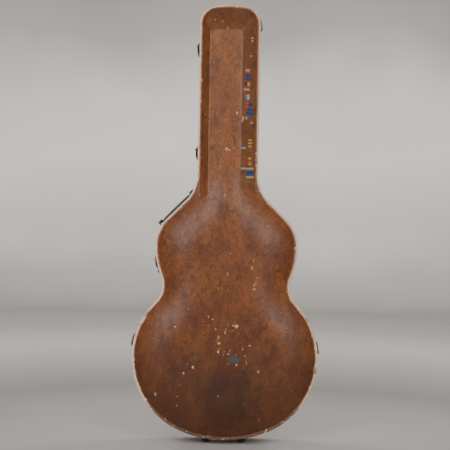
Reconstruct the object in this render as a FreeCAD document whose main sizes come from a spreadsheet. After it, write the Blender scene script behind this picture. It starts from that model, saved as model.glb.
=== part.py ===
"""Arched-lid hard case for a large-bodied guitar, standing on its tail end. Lengths in mm.

+Z runs up the neck, +Y from the lid to the back, +X to the hinge side. The floor is z = 0.
The case is a plywood tray (base) with a hinged arched lid, four slide-release hasp latches,
a folding handle, four tail feet, and plush-lined fittings inside.
"""
import FreeCAD
import Part
import math
import os
import types

DIMENSIONS = {
    # silhouette, heights measured from the tail end of the silhouette
    "case_length": 1118.0, "foot_gap": 12.0,
    "neck_half": 78.0, "crown_radius": 260.0, "corner_radius": 46.0,
    "throat_radius": 100.0, "shoulder_cross": 720.7,
    "upper_half": 182.5, "upper_height": 497.0, "flank_radius": 207.0, "waist_half": 163.0,
    "lower_half": 239.0, "lower_height": 212.0, "hip_radius": 200.0, "side_radius": 205.0,
    # depth, as places along Y
    "back_y": 70.0, "seam_y": -16.0, "border_y": -47.0, "seam_gap": 0.15,
    # shells
    "ply": 5.0, "lid_ply": 4.2, "binding": 1.2, "binding_lap": 8.0, "binding_leg": 8.2,
    # arch of the lid: insets from the silhouette and rises above the border
    "bevel_inset": 39.0, "bevel_rise": 15.0,
    "dome_inset_low": 42.0, "dome_inset_mid": 62.0, "dome_inset_top": 86.0,
    "dome_rise_mid": 4.7, "dome_rise_top": 8.0, "bevel_gap": 0.2, "arch_shift": 4.0,
    # tongue, linings and pads
    "tongue_thick": 2.5, "tongue_proud": 6.0, "tongue_deep": 14.0,
    "lining": 4.8, "lid_lining_thick": 3.0, "floor_thick": 7.8, "soft_gap": 0.2,
    # neck rest and string box
    "rest_low": 690.0, "rest_thick": 18.0, "rest_top_y": -6.0, "notch_half": 29.0,
    "box_length": 64.0, "box_wall": 6.0, "flap_y": 24.0, "flap_thick": 4.0,
    "flap_half": 58.0, "flap_gap": 1.0, "tape_radius": 1.0, "tape_width": 5.0,
    "cleat_depth": 10.0, "ledge_width": 4.0, "tab_width": 14.0, "tab_length": 22.0,
    "tab_thick": 1.6, "tab_edge": 4.0, "tape_set": 0.4, "tape_thick": 0.8,
    "head_pad_low": 1086.0, "pad_top_y": 6.0,
    "tail_pad_thick": 12.0, "tail_pad_high": 42.0,
    # feet
    "foot_x": 46.0, "foot_front_y": -4.0, "foot_back_y": 50.0,
    "foot_radius": 9.0, "foot_top_radius": 11.0, "foot_edge": 2.0, "foot_height": 24.0,
    "foot_screw_radius": 3.6, "foot_shank_radius": 1.5, "foot_bore_deep": 3.0,
    "foot_shank_length": 11.0, "screw_recess": 1.0, "screw_clearance": 0.2,
    "shank_clearance": 0.1,
    # hinges
    "hinge_length": 30.0, "leaf_width": 18.0, "leaf_thick": 1.2, "knuckle_radius": 2.8,
    "knuckle_length": 9.8, "pin_radius": 1.2, "pin_clearance": 0.05, "hinge_offset": 3.4,
    "leaf_start": 3.2, "arm_thick": 1.4, "upper_hinge_drop": 6.0, "lower_hinge_drop": 12.0,
    "screw_radius": 2.4, "screw_high": 0.8, "screw_place": 10.8, "pin_proud": 0.6,
    "pin_round": 0.4,
    # shared by the metal fittings: how deep a plate starts in the wall, how far fused pieces
    # run into each other, how far a cut runs past, and the rounded share of a head's height
    "bed": 6.0, "join": 0.2, "over": 1.0, "plate_corner": 3.0, "head_dome": 0.8,
    # latches
    "latch_1_height": 1003.7, "latch_2_height": 735.0,
    "latch_3_height": 449.7, "latch_4_height": 246.6,
    "plate_thick": 1.2, "plate_up": 25.0, "plate_down": 20.0, "plate_depth": 26.0,
    "lock_down": 30.0, "housing_up": 20.0, "housing_down": 14.0, "housing_high": 4.0,
    "housing_depth": 22.5, "housing_start": 3.0, "slot_half": 8.5, "slot_floor": 1.7,
    "hasp_half": 8.0, "hasp_thick": 1.4, "hasp_reach": 15.5, "hasp_low": 4.5,
    "hasp_pin_radius": 1.0, "hasp_pin_half": 13.8, "hasp_pin_y": 22.5, "hasp_pin_high": 3.9,
    "hasp_knuckle": 2.0, "roll_radius": 1.4, "lug_half": 4.0, "lug_depth": 4.0,
    "lug_high": 7.2, "lug_y": 12.5, "lug_play": 0.5, "keeper_half": 12.0,
    "keeper_depth": 19.0, "plate_start": 1.0, "stem_length": 5.0, "stem_width": 3.8,
    "stem_high": 3.7, "stem_low": 1.9, "knob_high": 3.4, "knob_length": 6.8,
    "knob_width": 10.0, "slider_run": 10.0, "slider_centre": 12.1, "slider_play": 0.2,
    "slider_end": 0.5, "end_play": 0.2, "roll_high": 0.9, "housing_round": 1.8,
    "lug_round": 1.0, "knob_round": 1.5, "lock_radius": 4.2, "lock_high": 4.8,
    "lock_z": 20.0, "lock_round": 0.8, "key_width": 1.0, "key_length": 4.4,
    "rivet_radius": 2.0, "rivet_high": 0.9, "rivet_edge": 2.8,
    # handle
    "handle_span": 112.0, "handle_shift": -3.0, "handle_y": 40.0, "pivot_high": 9.5,
    "eye_radius": 3.5, "eye_width": 8.0, "ear_thick": 2.5, "ear_play": 0.3,
    "handle_pin_radius": 1.5, "bracket_width": 28.0, "bracket_length": 18.0,
    "grip_length": 94.0, "grip_width": 18.0, "grip_thick": 8.0, "grip_reach": 28.0,
    "grip_low": 2.4, "grip_round": 3.7, "core_width": 12.0, "core_thick": 2.0,
    "arm_width": 7.0, "arm_high": 4.0, "arm_drop": 0.5, "arm_short": 4.0,
    "toe_thick": 3.0, "toe_lift": 0.5, "bracket_corner": 4.0,
}

doc = FreeCAD.newDocument("guitar_case")
sheet = doc.addObject("Spreadsheet::Sheet", "Dims")
for row, (alias, size) in enumerate(DIMENSIONS.items(), start=1):
    sheet.set(f"A{row}", alias)
    sheet.set(f"B{row}", str(size))
    sheet.setAlias(f"B{row}", alias)
doc.recompute()
d = types.SimpleNamespace(**{alias: float(sheet.get(alias)) for alias in DIMENSIONS})

Vector = FreeCAD.Vector
Placement = FreeCAD.Placement
NO_TURN = FreeCAD.Rotation()
NEAR = 0.01
nodes = {}


# ---------------------------------------------------------------- the silhouette
# A half silhouette is a chain of arcs met at shared outward normals. Each arc is
# (centre x, centre height, radius, first normal, last normal); a hollow arc has a
# negative radius. Angles are in degrees from +X towards +Z, and fall towards the tail.

def waist_circle():
    """Centre and radius of the hollow arc that touches the flank and hip arcs at the waist."""
    flank = (d.upper_half - d.flank_radius, d.upper_height, d.flank_radius)
    hip = (d.lower_half - d.hip_radius, d.lower_height, d.hip_radius)

    def reach(circle, radius):
        run = d.waist_half + radius - circle[0]
        return math.sqrt((circle[2] + radius) ** 2 - run ** 2)

    small, large = 1.0, 400.0
    while large - small > 1e-10:
        middle = (small + large) / 2
        if reach(flank, middle) + reach(hip, middle) < d.upper_height - d.lower_height:
            small = middle
        else:
            large = middle
    radius = (small + large) / 2
    return d.waist_half + radius, d.lower_height + reach(hip, radius), radius


def angle_of(x, y):
    return math.degrees(math.atan2(y, x))


def silhouette_arcs():
    """The named arcs of the right half, from the crown to the tail."""
    crown_z = d.case_length - d.crown_radius
    corner_x = d.neck_half - d.corner_radius
    corner_z = crown_z + math.sqrt((d.crown_radius - d.corner_radius) ** 2 - corner_x ** 2)
    corner_turn = angle_of(corner_x, corner_z - crown_z)
    throat_z = d.shoulder_cross - d.neck_half + (math.sqrt(2) - 1) * d.throat_radius
    shoulder_radius = (d.shoulder_cross - d.upper_half - d.upper_height) / (math.sqrt(2) - 1)
    flank_x = d.upper_half - d.flank_radius
    hip_x = d.lower_half - d.hip_radius
    waist_x, waist_z, waist_radius = waist_circle()
    above = angle_of(waist_x - flank_x, waist_z - d.upper_height)
    below = angle_of(waist_x - hip_x, waist_z - d.lower_height)
    side_x = d.lower_half - d.side_radius
    tail_radius = ((side_x ** 2 + d.lower_height ** 2 - d.side_radius ** 2)
                   / (2 * (d.lower_height - d.side_radius)))
    tail_turn = angle_of(side_x, d.lower_height - tail_radius)
    return {
        "crown": (0.0, crown_z, d.crown_radius, 90.0, corner_turn),
        "corner": (corner_x, corner_z, d.corner_radius, corner_turn, 0.0),
        "throat": (d.neck_half + d.throat_radius, throat_z, -d.throat_radius, 0.0, 45.0),
        "shoulder": (d.upper_half - shoulder_radius, d.upper_height, shoulder_radius, 45.0, 0.0),
        "flank": (flank_x, d.upper_height, d.flank_radius, 0.0, above),
        "waist": (waist_x, waist_z, -waist_radius, above, below),
        "hip": (hip_x, d.lower_height, d.hip_radius, below, 0.0),
        "side": (side_x, d.lower_height, d.side_radius, 0.0, tail_turn),
        "tail": (0.0, tail_radius, tail_radius, tail_turn, -90.0),
    }


ARCS = silhouette_arcs()


def arc_point(arc, normal, inset=0.0):
    """The point of an arc whose outward normal has this angle, moved inwards by inset."""
    centre_x, centre_z, radius = arc[:3]
    reach = radius - inset
    turn = math.radians(normal)
    return Vector(centre_x + reach * math.cos(turn), centre_z + reach * math.sin(turn), 0)


def body_arcs():
    """The silhouette of the body alone, closed straight across above the shoulders."""
    arcs = {name: ARCS[name] for name in ("flank", "waist", "hip", "side", "tail")}
    shoulder = ARCS["shoulder"][:3] + (90.0, 0.0)
    return {"shoulder": shoulder, **arcs}


def curve(arc, inset, mirror):
    """One arc of the inset silhouette as sketch geometry, on the right or mirrored half."""
    centre_x, centre_z, radius, first, last = arc
    turns = [first, last] if radius > 0 else [first + 180, last + 180]
    if mirror:
        centre_x = -centre_x
        turns = [180 - turn for turn in turns]
    circle = Part.Circle(Vector(centre_x, centre_z, 0), Vector(0, 0, 1), abs(radius - inset))
    return Part.ArcOfCircle(circle, math.radians(min(turns)), math.radians(max(turns)))


def silhouette(arcs, inset):
    """Closed silhouette geometry at an inset: arcs on both halves and the lines between them."""
    chain = list(arcs.values())
    geometry = []
    for mirror in (False, True):
        flip = -1 if mirror else 1
        for number, arc in enumerate(chain):
            geometry.append(curve(arc, inset, mirror))
            if number + 1 == len(chain):
                continue
            start = arc_point(arc, arc[4], inset)
            end = arc_point(chain[number + 1], chain[number + 1][3], inset)
            if (end - start).Length > NEAR:
                start.x, end.x = flip * start.x, flip * end.x
                geometry.append(Part.LineSegment(start, end))
    top = arc_point(chain[0], chain[0][3], inset)
    if top.x > NEAR:
        geometry.append(Part.LineSegment(Vector(-top.x, top.y, 0), top))
    return geometry


# ---------------------------------------------------------------- building blocks

def bound(text):
    """A size in words, with spaces between them, as an expression on the sheet."""
    return " ".join("Dims." + word if word in DIMENSIONS else word for word in text.split())


def new_body(label):
    body = doc.addObject("PartDesign::Body", "Body_" + label)
    body.Label = label
    nodes[label] = body
    return body


def front_sketch(body, geometry, y, name="outline"):
    """A sketch in the plane Y = y, seen from the lid side: its x is X and its y is height."""
    sketch = body.newObject("Sketcher::SketchObject", name)
    plane = next(f for f in body.Origin.OriginFeatures if f.Role == "XZ_Plane")
    sketch.AttachmentSupport = [(plane, "")]
    sketch.MapMode = "FlatFace"
    sketch.AttachmentOffset = Placement(Vector(0, d.foot_gap, -y), NO_TURN)
    sketch.addGeometry(geometry, False)
    return sketch


def pad(body, geometry, y, length):
    """Raise a silhouette from Y = y towards the lid side."""
    feature = body.newObject("PartDesign::Pad", "pad")
    feature.Profile = front_sketch(body, geometry, y)
    feature.setExpression("Length", bound(length))
    return feature


def pocket(body, geometry, y, length):
    """Sink a silhouette from Y = y towards the lid side."""
    feature = body.newObject("PartDesign::Pocket", "pocket")
    feature.Profile = front_sketch(body, geometry, y)
    feature.Reversed = True
    feature.setExpression("Length", bound(length))
    return feature


def loft(body, kind, arcs, levels):
    """Straight-sided loft through (inset, y) levels of a silhouette."""
    sketches = [front_sketch(body, silhouette(arcs, inset), y) for inset, y in levels]
    feature = body.newObject("PartDesign::" + kind, "loft")
    feature.Profile = sketches[0]
    feature.Sections = sketches[1:]
    feature.Ruled = True
    return feature


def ring(label, outer, inner, y, length):
    """A band between two insets of the silhouette."""
    body = new_body(label)
    pad(body, silhouette(ARCS, outer), y, length)
    pocket(body, silhouette(ARCS, inner), y, length)
    return body


def box(frame, corner, size):
    """A block with its low corner at corner in a frame; size is three texts."""
    block = doc.addObject("Part::Box", "block")
    for prop, text in zip(("Length", "Width", "Height"), size):
        block.setExpression(prop, bound(text))
    block.Placement = frame.multiply(Placement(Vector(*corner), NO_TURN))
    return block


def rod(frame, centre, radius, length, along="z"):
    """A round bar that starts at centre and runs along one axis of a frame."""
    bar = doc.addObject("Part::Cylinder", "rod")
    bar.setExpression("Radius", bound(radius))
    bar.setExpression("Height", bound(length))
    turn = {"z": NO_TURN, "x": FreeCAD.Rotation(Vector(0, 1, 0), 90),
            "y": FreeCAD.Rotation(Vector(1, 0, 0), -90)}[along]
    bar.Placement = frame.multiply(Placement(Vector(*centre), turn))
    return bar


def fuse(pieces):
    joined = doc.addObject("Part::MultiFuse", "joined")
    joined.Shapes = pieces
    joined.Refine = True
    return joined


def cut(base, tool):
    result = doc.addObject("Part::Cut", "cut")
    result.Base = base
    result.Tool = tool
    return result


def rounded(base, radius, pick):
    """Fillet the edges that pick accepts."""
    doc.recompute()
    edges = [n for n, edge in enumerate(base.Shape.Edges, start=1) if pick(edge)]
    result = doc.addObject("Part::Fillet", "rounded")
    result.Base = base
    result.Edges = [(n, radius, radius) for n in edges]
    return result


def group(pieces):
    """Fasteners or strips of one kind kept together as separate solids."""
    compound = doc.addObject("Part::Compound", "set_of")
    compound.Links = pieces
    return compound


def keep(label, feature):
    feature.Label = label
    nodes[label] = feature
    return feature


def along(edge, direction):
    """Whether a straight edge runs along a direction."""
    if edge.Curve.TypeId != "Part::GeomLine":
        return False
    return abs(edge.Curve.Direction.dot(direction)) > 1 - NEAR


def is_round(edge):
    return edge.Curve.TypeId == "Part::GeomCircle"


def across(frame, axis):
    """A frame's own axis as a direction in space."""
    return frame.Rotation.multVec(Vector(*axis))


def local(frame, edge):
    """An edge's middle in a frame's own coordinates."""
    return frame.inverse().multVec(edge.CenterOfMass)


def wall_frame(arc, normal, side):
    """Frame on the outer wall: x out of the wall, y towards the back, z along the wall.

    side is 1 on the hinge side (z points up) and -1 on the latch side (z points down).
    """
    point = arc_point(arc, normal, d.binding)
    angle = normal if side > 0 else 180 - normal
    place = Vector(side * point.x, d.seam_y, point.y + d.foot_gap)
    return Placement(place, FreeCAD.Rotation(Vector(0, 1, 0), -angle))


def neck_frame(height):
    """The same frame on the straight wall of the neck, latch side."""
    place = Vector(-(d.neck_half - d.binding), d.seam_y, height + d.foot_gap)
    return Placement(place, FreeCAD.Rotation(Vector(0, 1, 0), 180))


def normal_at(arc, height):
    return math.degrees(math.asin((height - arc[1]) / arc[2]))


# ---------------------------------------------------------------- shells
BACK_INNER = d.back_y - d.binding - d.ply
LID_PANEL_BACK = d.border_y + d.ply
RIM_INNER = d.binding + d.ply
LINING_OUTER = RIM_INNER + d.soft_gap
LINING_INNER = LINING_OUTER + d.lining
PAD_EDGE = LINING_INNER + d.soft_gap


def spliced(hoop):
    """A bent wall in its four strips, scarfed at both ends of the straight shoulders."""
    high, low = (arc_point(ARCS[name], 45, d.binding + d.ply / 2).y + d.foot_gap
                 for name in ("throat", "shoulder"))

    def block(bottom, top):
        size = ("2 * lower_half", "back_y - border_y", f"{top - bottom}")
        return box(Placement(), (-d.lower_half, d.border_y, bottom), size)

    top = d.case_length + d.foot_gap
    neck_bow = cut(hoop, block(0, high))
    body_bow = cut(hoop, block(low, top))
    shoulders = cut(cut(hoop, block(high, top)), block(0, low))
    return group([neck_bow, shoulders, body_bow])


def make_base_shell():
    back = new_body("base_back_panel")
    pad(back, silhouette(ARCS, d.binding), BACK_INNER + d.ply, "ply")
    ring("rim_hoop", d.binding, RIM_INNER, BACK_INNER,
         "back_y - binding - ply - seam_y - seam_gap")
    keep("base_rim", spliced(nodes.pop("rim_hoop")))
    ring("base_tongue", RIM_INNER, RIM_INNER + d.tongue_thick, d.seam_y + d.tongue_deep,
         "tongue_deep + tongue_proud")
    edge = new_body("base_binding")
    pad(edge, silhouette(ARCS, 0.0), d.back_y, "binding_leg")
    pocket(edge, silhouette(ARCS, d.binding), d.back_y - d.binding, "binding_leg")
    pocket(edge, silhouette(ARCS, d.binding_lap), d.back_y, "binding_leg")


def arch_levels(inset, sink):
    """Levels of the bevel and the dome, moved in by inset and back by sink."""
    bevel = [(d.binding_lap + inset, d.border_y + sink),
             (d.bevel_inset + inset / 2, d.border_y - d.bevel_rise + sink)]
    crest = d.border_y - d.bevel_rise + sink
    dome = [(d.dome_inset_low + inset / 2, crest),
            (d.dome_inset_mid + inset / 2, crest - d.dome_rise_mid),
            (d.dome_inset_top, crest - d.dome_rise_top)]
    return bevel, dome


def arch(body, kind, inset, sink):
    bevel, dome = arch_levels(inset, sink)
    loft(body, kind, ARCS, bevel)
    loft(body, kind, body_arcs(), dome)


def make_lid_shell():
    ring("lid_rim", d.binding, d.binding + d.lid_ply, d.seam_y - d.seam_gap,
         "seam_y - seam_gap - border_y - ply")
    panel = new_body("lid_panel")
    pad(panel, silhouette(ARCS, d.binding), LID_PANEL_BACK, "ply")
    arch(panel, "AdditiveLoft", d.bevel_gap, 0.0)
    arch(panel, "SubtractiveLoft", d.arch_shift, d.ply)
    edge = new_body("lid_binding")
    pad(edge, silhouette(ARCS, 0.0), d.border_y + d.binding_leg - d.binding, "binding_leg")
    pocket(edge, silhouette(ARCS, d.binding), d.border_y + d.binding_leg, "binding_leg")
    pocket(edge, silhouette(ARCS, d.binding_lap), d.border_y + d.binding_leg,
           "binding_leg + binding")
    lining = new_body("lid_lining")
    inset, sink = d.arch_shift + d.soft_gap, d.ply + d.soft_gap
    arch(lining, "AdditiveLoft", inset, sink)
    arch(lining, "SubtractiveLoft", inset + d.lid_lining_thick, sink + d.lid_lining_thick)


# ---------------------------------------------------------------- linings and fittings
FLOOR_Y = BACK_INNER - d.soft_gap - d.floor_thick
INNER_HALF = d.neck_half - PAD_EDGE
PAD_HEIGHT = "back_y - binding - ply - soft_gap - floor_thick - pad_top_y"
WORLD = Placement(Vector(0, 0, d.foot_gap), NO_TURN)


def rectangle(left, low, right, high):
    corners = [Vector(left, low, 0), Vector(right, low, 0), Vector(right, high, 0),
               Vector(left, high, 0)]
    return [Part.LineSegment(a, b) for a, b in zip(corners, corners[1:] + corners[:1])]


def make_linings():
    ring("wall_lining", LINING_OUTER, LINING_INNER, BACK_INNER - d.soft_gap,
         "back_y - binding - ply - 2 * soft_gap - seam_y - tongue_deep")
    floor = new_body("floor_pad")
    pad(floor, silhouette(ARCS, PAD_EDGE), FLOOR_Y + d.floor_thick, "floor_thick")
    far = d.case_length
    head = new_body("head_pad")
    pad(head, silhouette(ARCS, PAD_EDGE), FLOOR_Y, PAD_HEIGHT)
    pocket(head, rectangle(-far, -far, far, d.head_pad_low), FLOOR_Y, "case_length")
    tail = new_body("tail_pad")
    pad(tail, silhouette(ARCS, PAD_EDGE), FLOOR_Y, PAD_HEIGHT)
    pocket(tail, silhouette(ARCS, PAD_EDGE + d.tail_pad_thick), FLOOR_Y, "case_length")
    pocket(tail, rectangle(-far, d.tail_pad_high, far, 2 * far), FLOOR_Y, "case_length")


def make_neck_rest():
    """Padded block across the neck, with a round-bottomed notch that the neck lies in."""
    body = new_body("neck_rest")
    sketch = body.newObject("Sketcher::SketchObject", "notched")
    plane = next(f for f in body.Origin.OriginFeatures if f.Role == "XY_Plane")
    sketch.AttachmentSupport = [(plane, "")]
    sketch.MapMode = "FlatFace"
    sketch.AttachmentOffset = Placement(Vector(0, 0, d.rest_low + d.foot_gap), NO_TURN)
    side, half, top = INNER_HALF, d.notch_half, d.rest_top_y
    outline = [Vector(-half, top, 0), Vector(-side, top, 0), Vector(-side, FLOOR_Y, 0),
               Vector(side, FLOOR_Y, 0), Vector(side, top, 0), Vector(half, top, 0)]
    sketch.addGeometry([Part.LineSegment(a, b) for a, b in zip(outline, outline[1:])], False)
    notch = Part.Arc(Vector(half, top, 0), Vector(0, top + half, 0), Vector(-half, top, 0))
    sketch.addGeometry(notch, False)
    feature = body.newObject("PartDesign::Pad", "pad")
    feature.Profile = sketch
    feature.setExpression("Length", bound("rest_thick"))


def make_string_box():
    """Small box between the neck rest and an upper wall, closed by a hinged flap."""
    low = d.rest_low + d.rest_thick
    high = low + d.box_length
    width = "2 * neck_half - 2 * binding - 2 * ply - 2 * lining - 4 * soft_gap"
    keep("string_box_wall", box(WORLD, (-INNER_HALF, d.flap_y, high),
         (width, "back_y - binding - ply - soft_gap - floor_thick - flap_y", "box_wall")))
    flap_long = "box_length - 2 * flap_gap"
    flap = box(WORLD, (-d.flap_half, d.flap_y, low + d.flap_gap),
               ("2 * flap_half", "flap_thick", flap_long))
    keep("string_box_flap", flap)
    for name, side in (("left", -1), ("right", 1)):
        outer = d.flap_half + 2 * d.soft_gap
        strip = box(WORLD, (outer if side > 0 else -INNER_HALF, d.flap_y, low),
                    (f"{INNER_HALF} - flap_half - 2 * soft_gap", "cleat_depth", "box_length"))
        ledge_x = outer - d.ledge_width if side > 0 else -outer
        ledge = box(WORLD, (ledge_x, d.flap_y + d.flap_thick + d.soft_gap, low),
                    ("ledge_width", "cleat_depth - flap_thick - soft_gap", "box_length"))
        keep("string_box_cleat_" + name, fuse([strip, ledge]))
    tape_y = d.flap_y - d.tape_radius - d.soft_gap
    roll = rod(WORLD, (-d.flap_half, tape_y, high - d.tape_set), "tape_radius",
               "2 * flap_half", "x")
    strip = box(WORLD, (-d.flap_half, d.flap_y - d.tape_thick, high + d.soft_gap),
                ("2 * flap_half", "tape_thick", "tape_width"))
    keep("string_box_hinge_tape", fuse([roll, strip]))
    tab_low = (-d.tab_width / 2, d.flap_y - d.tab_thick, low + d.flap_gap + d.tab_edge)
    ribbon = box(WORLD, tab_low, ("tab_width", "tab_thick", "tab_length"))
    bead = rod(WORLD, tab_low, "tab_thick", "tab_width", "x")
    keep("flap_pull_tab", fuse([ribbon, bead]))


# ---------------------------------------------------------------- feet

def make_outer_form():
    """The whole case as one block inside its wall: it beds fittings onto the curved wall."""
    body = doc.addObject("PartDesign::Body", "outer_form")
    pad(body, silhouette(ARCS, d.binding), d.back_y, "back_y - border_y")
    return body


def make_feet():
    screws = []
    ground = Placement()
    for row, y in (("front", d.foot_front_y), ("back", d.foot_back_y)):
        for side, x in (("left", -d.foot_x), ("right", d.foot_x)):
            block = doc.addObject("Part::Cone", "foot")
            block.setExpression("Radius1", bound("foot_radius"))
            block.setExpression("Radius2", bound("foot_top_radius"))
            block.setExpression("Height", bound("foot_height"))
            block.Placement = Placement(Vector(x, y, 0), NO_TURN)
            soft = rounded(block, d.foot_edge, lambda edge: edge.BoundBox.ZMax < NEAR)
            bore = rod(ground, (x, y, -d.over), "foot_screw_radius + screw_clearance",
                       "over + foot_bore_deep")
            hole = rod(ground, (x, y, 0), "foot_shank_radius + shank_clearance",
                       "foot_bore_deep + foot_shank_length + over")
            foot = cut(cut(soft, fuse([bore, hole])), outer_form)
            keep(f"tail_foot_{row}_{side}", foot)
            head = rod(ground, (x, y, d.screw_recess), "foot_screw_radius",
                       "foot_bore_deep - screw_recess")
            shank = rod(ground, (x, y, d.foot_bore_deep), "foot_shank_radius",
                        "foot_shank_length")
            screws.append(fuse([head, shank]))
    keep("foot_screws", group(screws))


# ---------------------------------------------------------------- lid hinges

def hinge_normal():
    """Outward normal of the line that touches the head corner and the hip."""
    corner, hip = ARCS["corner"], ARCS["hip"]
    apart_x, apart_z = corner[0] - hip[0], corner[1] - hip[1]
    lean = math.acos((hip[2] - corner[2]) / math.hypot(apart_x, apart_z))
    return angle_of(apart_x, apart_z) - math.degrees(lean)


def hinge_leaf(frame, side, knuckles):
    """A leaf bedded on the wall with its knuckles; side is 1 on the base and -1 on the lid."""
    half = d.hinge_length / 2
    low = d.leaf_start if side > 0 else -d.leaf_start - d.leaf_width
    plate = box(frame, (-d.bed, low, -half), ("bed + leaf_thick", "leaf_width", "hinge_length"))
    corner = d.leaf_start + d.leaf_width
    plate = rounded(plate, d.plate_corner, lambda edge: along(edge, across(frame, (1, 0, 0)))
                    and abs(abs(local(frame, edge).y) - corner) < NEAR)
    pieces = [plate]
    for centre in knuckles:
        start = centre - d.knuckle_length / 2
        arm_y = d.seam_gap if side > 0 else -d.leaf_start - d.join
        pieces.append(box(frame, (-d.bed, arm_y, start),
                          ("bed + arm_thick", "leaf_start + join - seam_gap", "knuckle_length")))
    bedded = cut(fuse(pieces), outer_form)
    barrels = [rod(frame, (d.hinge_offset, 0, centre - d.knuckle_length / 2),
                   "knuckle_radius", "knuckle_length") for centre in knuckles]
    bore = rod(frame, (d.hinge_offset, 0, -half - d.over), "pin_radius + pin_clearance",
               "hinge_length + 2 * over")
    return cut(fuse([bedded] + barrels), bore)


def make_hinges():
    normal = hinge_normal()
    step = d.hinge_length / 3
    base_screws, lid_screws = [], []
    for name, arc, drop in (("upper", ARCS["corner"], d.upper_hinge_drop),
                            ("lower", ARCS["hip"], d.lower_hinge_drop)):
        frame = wall_frame(arc, normal, 1).multiply(Placement(Vector(0, 0, -drop), NO_TURN))
        keep(f"hinge_{name}_base_leaf", hinge_leaf(frame, 1, [-step, step]))
        keep(f"hinge_{name}_lid_leaf", hinge_leaf(frame, -1, [0]))
        pin = rod(frame, (d.hinge_offset, 0, -d.hinge_length / 2 - d.pin_proud), "pin_radius",
                  "hinge_length + 2 * pin_proud")
        keep(f"hinge_{name}_pin", rounded(pin, d.pin_round, is_round))
        middle = d.leaf_start + d.screw_place
        for z in (-step, step):
            base_screws.append(stud(frame, middle, z, "screw_radius", "screw_high", "leaf_thick"))
            lid_screws.append(stud(frame, -middle, z, "screw_radius", "screw_high", "leaf_thick"))
    keep("hinge_base_screws", group(base_screws))
    keep("hinge_lid_screws", group(lid_screws))


def stud(frame, y, z, radius, high, sits_on):
    """A low domed rivet or screw head that stands on a plate."""
    head = rod(frame, (getattr(d, sits_on), y, z), radius, high, "x")
    top = getattr(d, sits_on) + getattr(d, high)
    return rounded(head, getattr(d, high) * d.head_dome,
                   lambda edge: is_round(edge) and local(frame, edge).x > top - NEAR)


# ---------------------------------------------------------------- latches

def latch_frames():
    return {
        1: neck_frame(d.latch_1_height),
        2: neck_frame(d.latch_2_height),
        3: wall_frame(ARCS["flank"], normal_at(ARCS["flank"], d.latch_3_height), -1),
        4: wall_frame(ARCS["hip"], normal_at(ARCS["hip"], d.latch_4_height), -1),
    }


def latch_plate(frame, down):
    """Base plate and housing: a slot for the hasp, a pin hole and a slot for the slider."""
    plate = box(frame, (-d.bed, d.plate_start, -d.plate_up),
                ("bed + plate_thick", "plate_depth", "plate_up + " + down))
    plate = rounded(plate, d.plate_corner, lambda edge: along(edge, across(frame, (1, 0, 0))))
    housing = box(frame, (d.plate_thick - d.join, d.housing_start, -d.housing_up),
                  ("housing_high + join", "housing_depth", "housing_up + housing_down"))
    top = d.plate_thick + d.housing_high
    housing = rounded(housing, d.housing_round, lambda edge: local(frame, edge).x > top - NEAR
                      or along(edge, across(frame, (1, 0, 0))))
    hasp_slot = box(frame, (d.slot_floor, 0, -d.slot_half),
                    ("2 * housing_high", "2 * housing_depth", "2 * slot_half"))
    slider_slot = box(frame, (d.slot_floor, d.slider_centre - d.stem_width / 2 - d.slider_play,
                              -d.housing_up + d.slider_end),
                      ("2 * housing_high", "stem_width + 2 * slider_play", "slider_run"))
    pin_hole = rod(frame, (d.hasp_pin_high, d.hasp_pin_y, -d.hasp_pin_half - d.end_play),
                   "hasp_pin_radius + pin_clearance", "2 * hasp_pin_half + 2 * end_play")
    body = cut(fuse([plate, housing]), fuse([hasp_slot, slider_slot, pin_hole]))
    return cut(body, outer_form)


def latch_hasp(frame):
    """Flat hasp on a knuckle, with a window for the keeper's lug and a rolled finger edge."""
    plate = box(frame, (d.hasp_low, -d.hasp_reach, -d.hasp_half),
                ("hasp_thick", "hasp_reach + hasp_pin_y", "2 * hasp_half"))
    knuckle = rod(frame, (d.hasp_pin_high, d.hasp_pin_y, -d.hasp_half), "hasp_knuckle",
                  "2 * hasp_half")
    roll = rod(frame, (d.hasp_low + d.roll_high, -d.hasp_reach, -d.hasp_half), "roll_radius",
               "2 * hasp_half")
    window = box(frame, (d.hasp_low - d.over, -d.lug_y - d.lug_play, -d.lug_half - d.lug_play),
                 ("3 * hasp_thick", "lug_depth + 2 * lug_play", "2 * lug_half + 2 * lug_play"))
    bore = rod(frame, (d.hasp_pin_high, d.hasp_pin_y, -d.hasp_half - d.over),
               "hasp_pin_radius + pin_clearance", "2 * hasp_half + 2 * over")
    return cut(fuse([plate, knuckle, roll]), fuse([window, bore]))


def latch_keeper(frame):
    """Plate on the lid with the lug that stands through the hasp's window."""
    plate = box(frame, (-d.bed, -d.plate_start - d.keeper_depth, -d.keeper_half),
                ("bed + plate_thick", "keeper_depth", "2 * keeper_half"))
    plate = rounded(plate, d.plate_corner, lambda edge: along(edge, across(frame, (1, 0, 0))))
    lug = box(frame, (d.plate_thick - d.join, -d.lug_y, -d.lug_half),
              ("lug_high - plate_thick + join", "lug_depth", "2 * lug_half"))
    lug = rounded(lug, d.lug_round, lambda edge: local(frame, edge).x > d.lug_high - NEAR)
    return cut(fuse([plate, lug]), outer_form)


def latch_slider(frame):
    """Thumb knob on a stem that runs in the housing's slot."""
    rest = -d.housing_up + d.slider_end + d.slider_run - d.slider_play - d.stem_length
    stem = box(frame, (d.stem_low, d.slider_centre - d.stem_width / 2, rest),
               ("stem_high", "stem_width", "stem_length"))
    low = d.plate_thick + d.housing_high + d.slider_play
    knob = box(frame, (low, d.slider_centre - d.knob_width / 2,
                       rest + d.stem_length / 2 - d.knob_length / 2),
               ("knob_high", "knob_width", "knob_length"))
    knob = rounded(knob, d.knob_round, lambda edge: local(frame, edge).x > low + d.knob_high / 3)
    return fuse([stem, knob])


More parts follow.
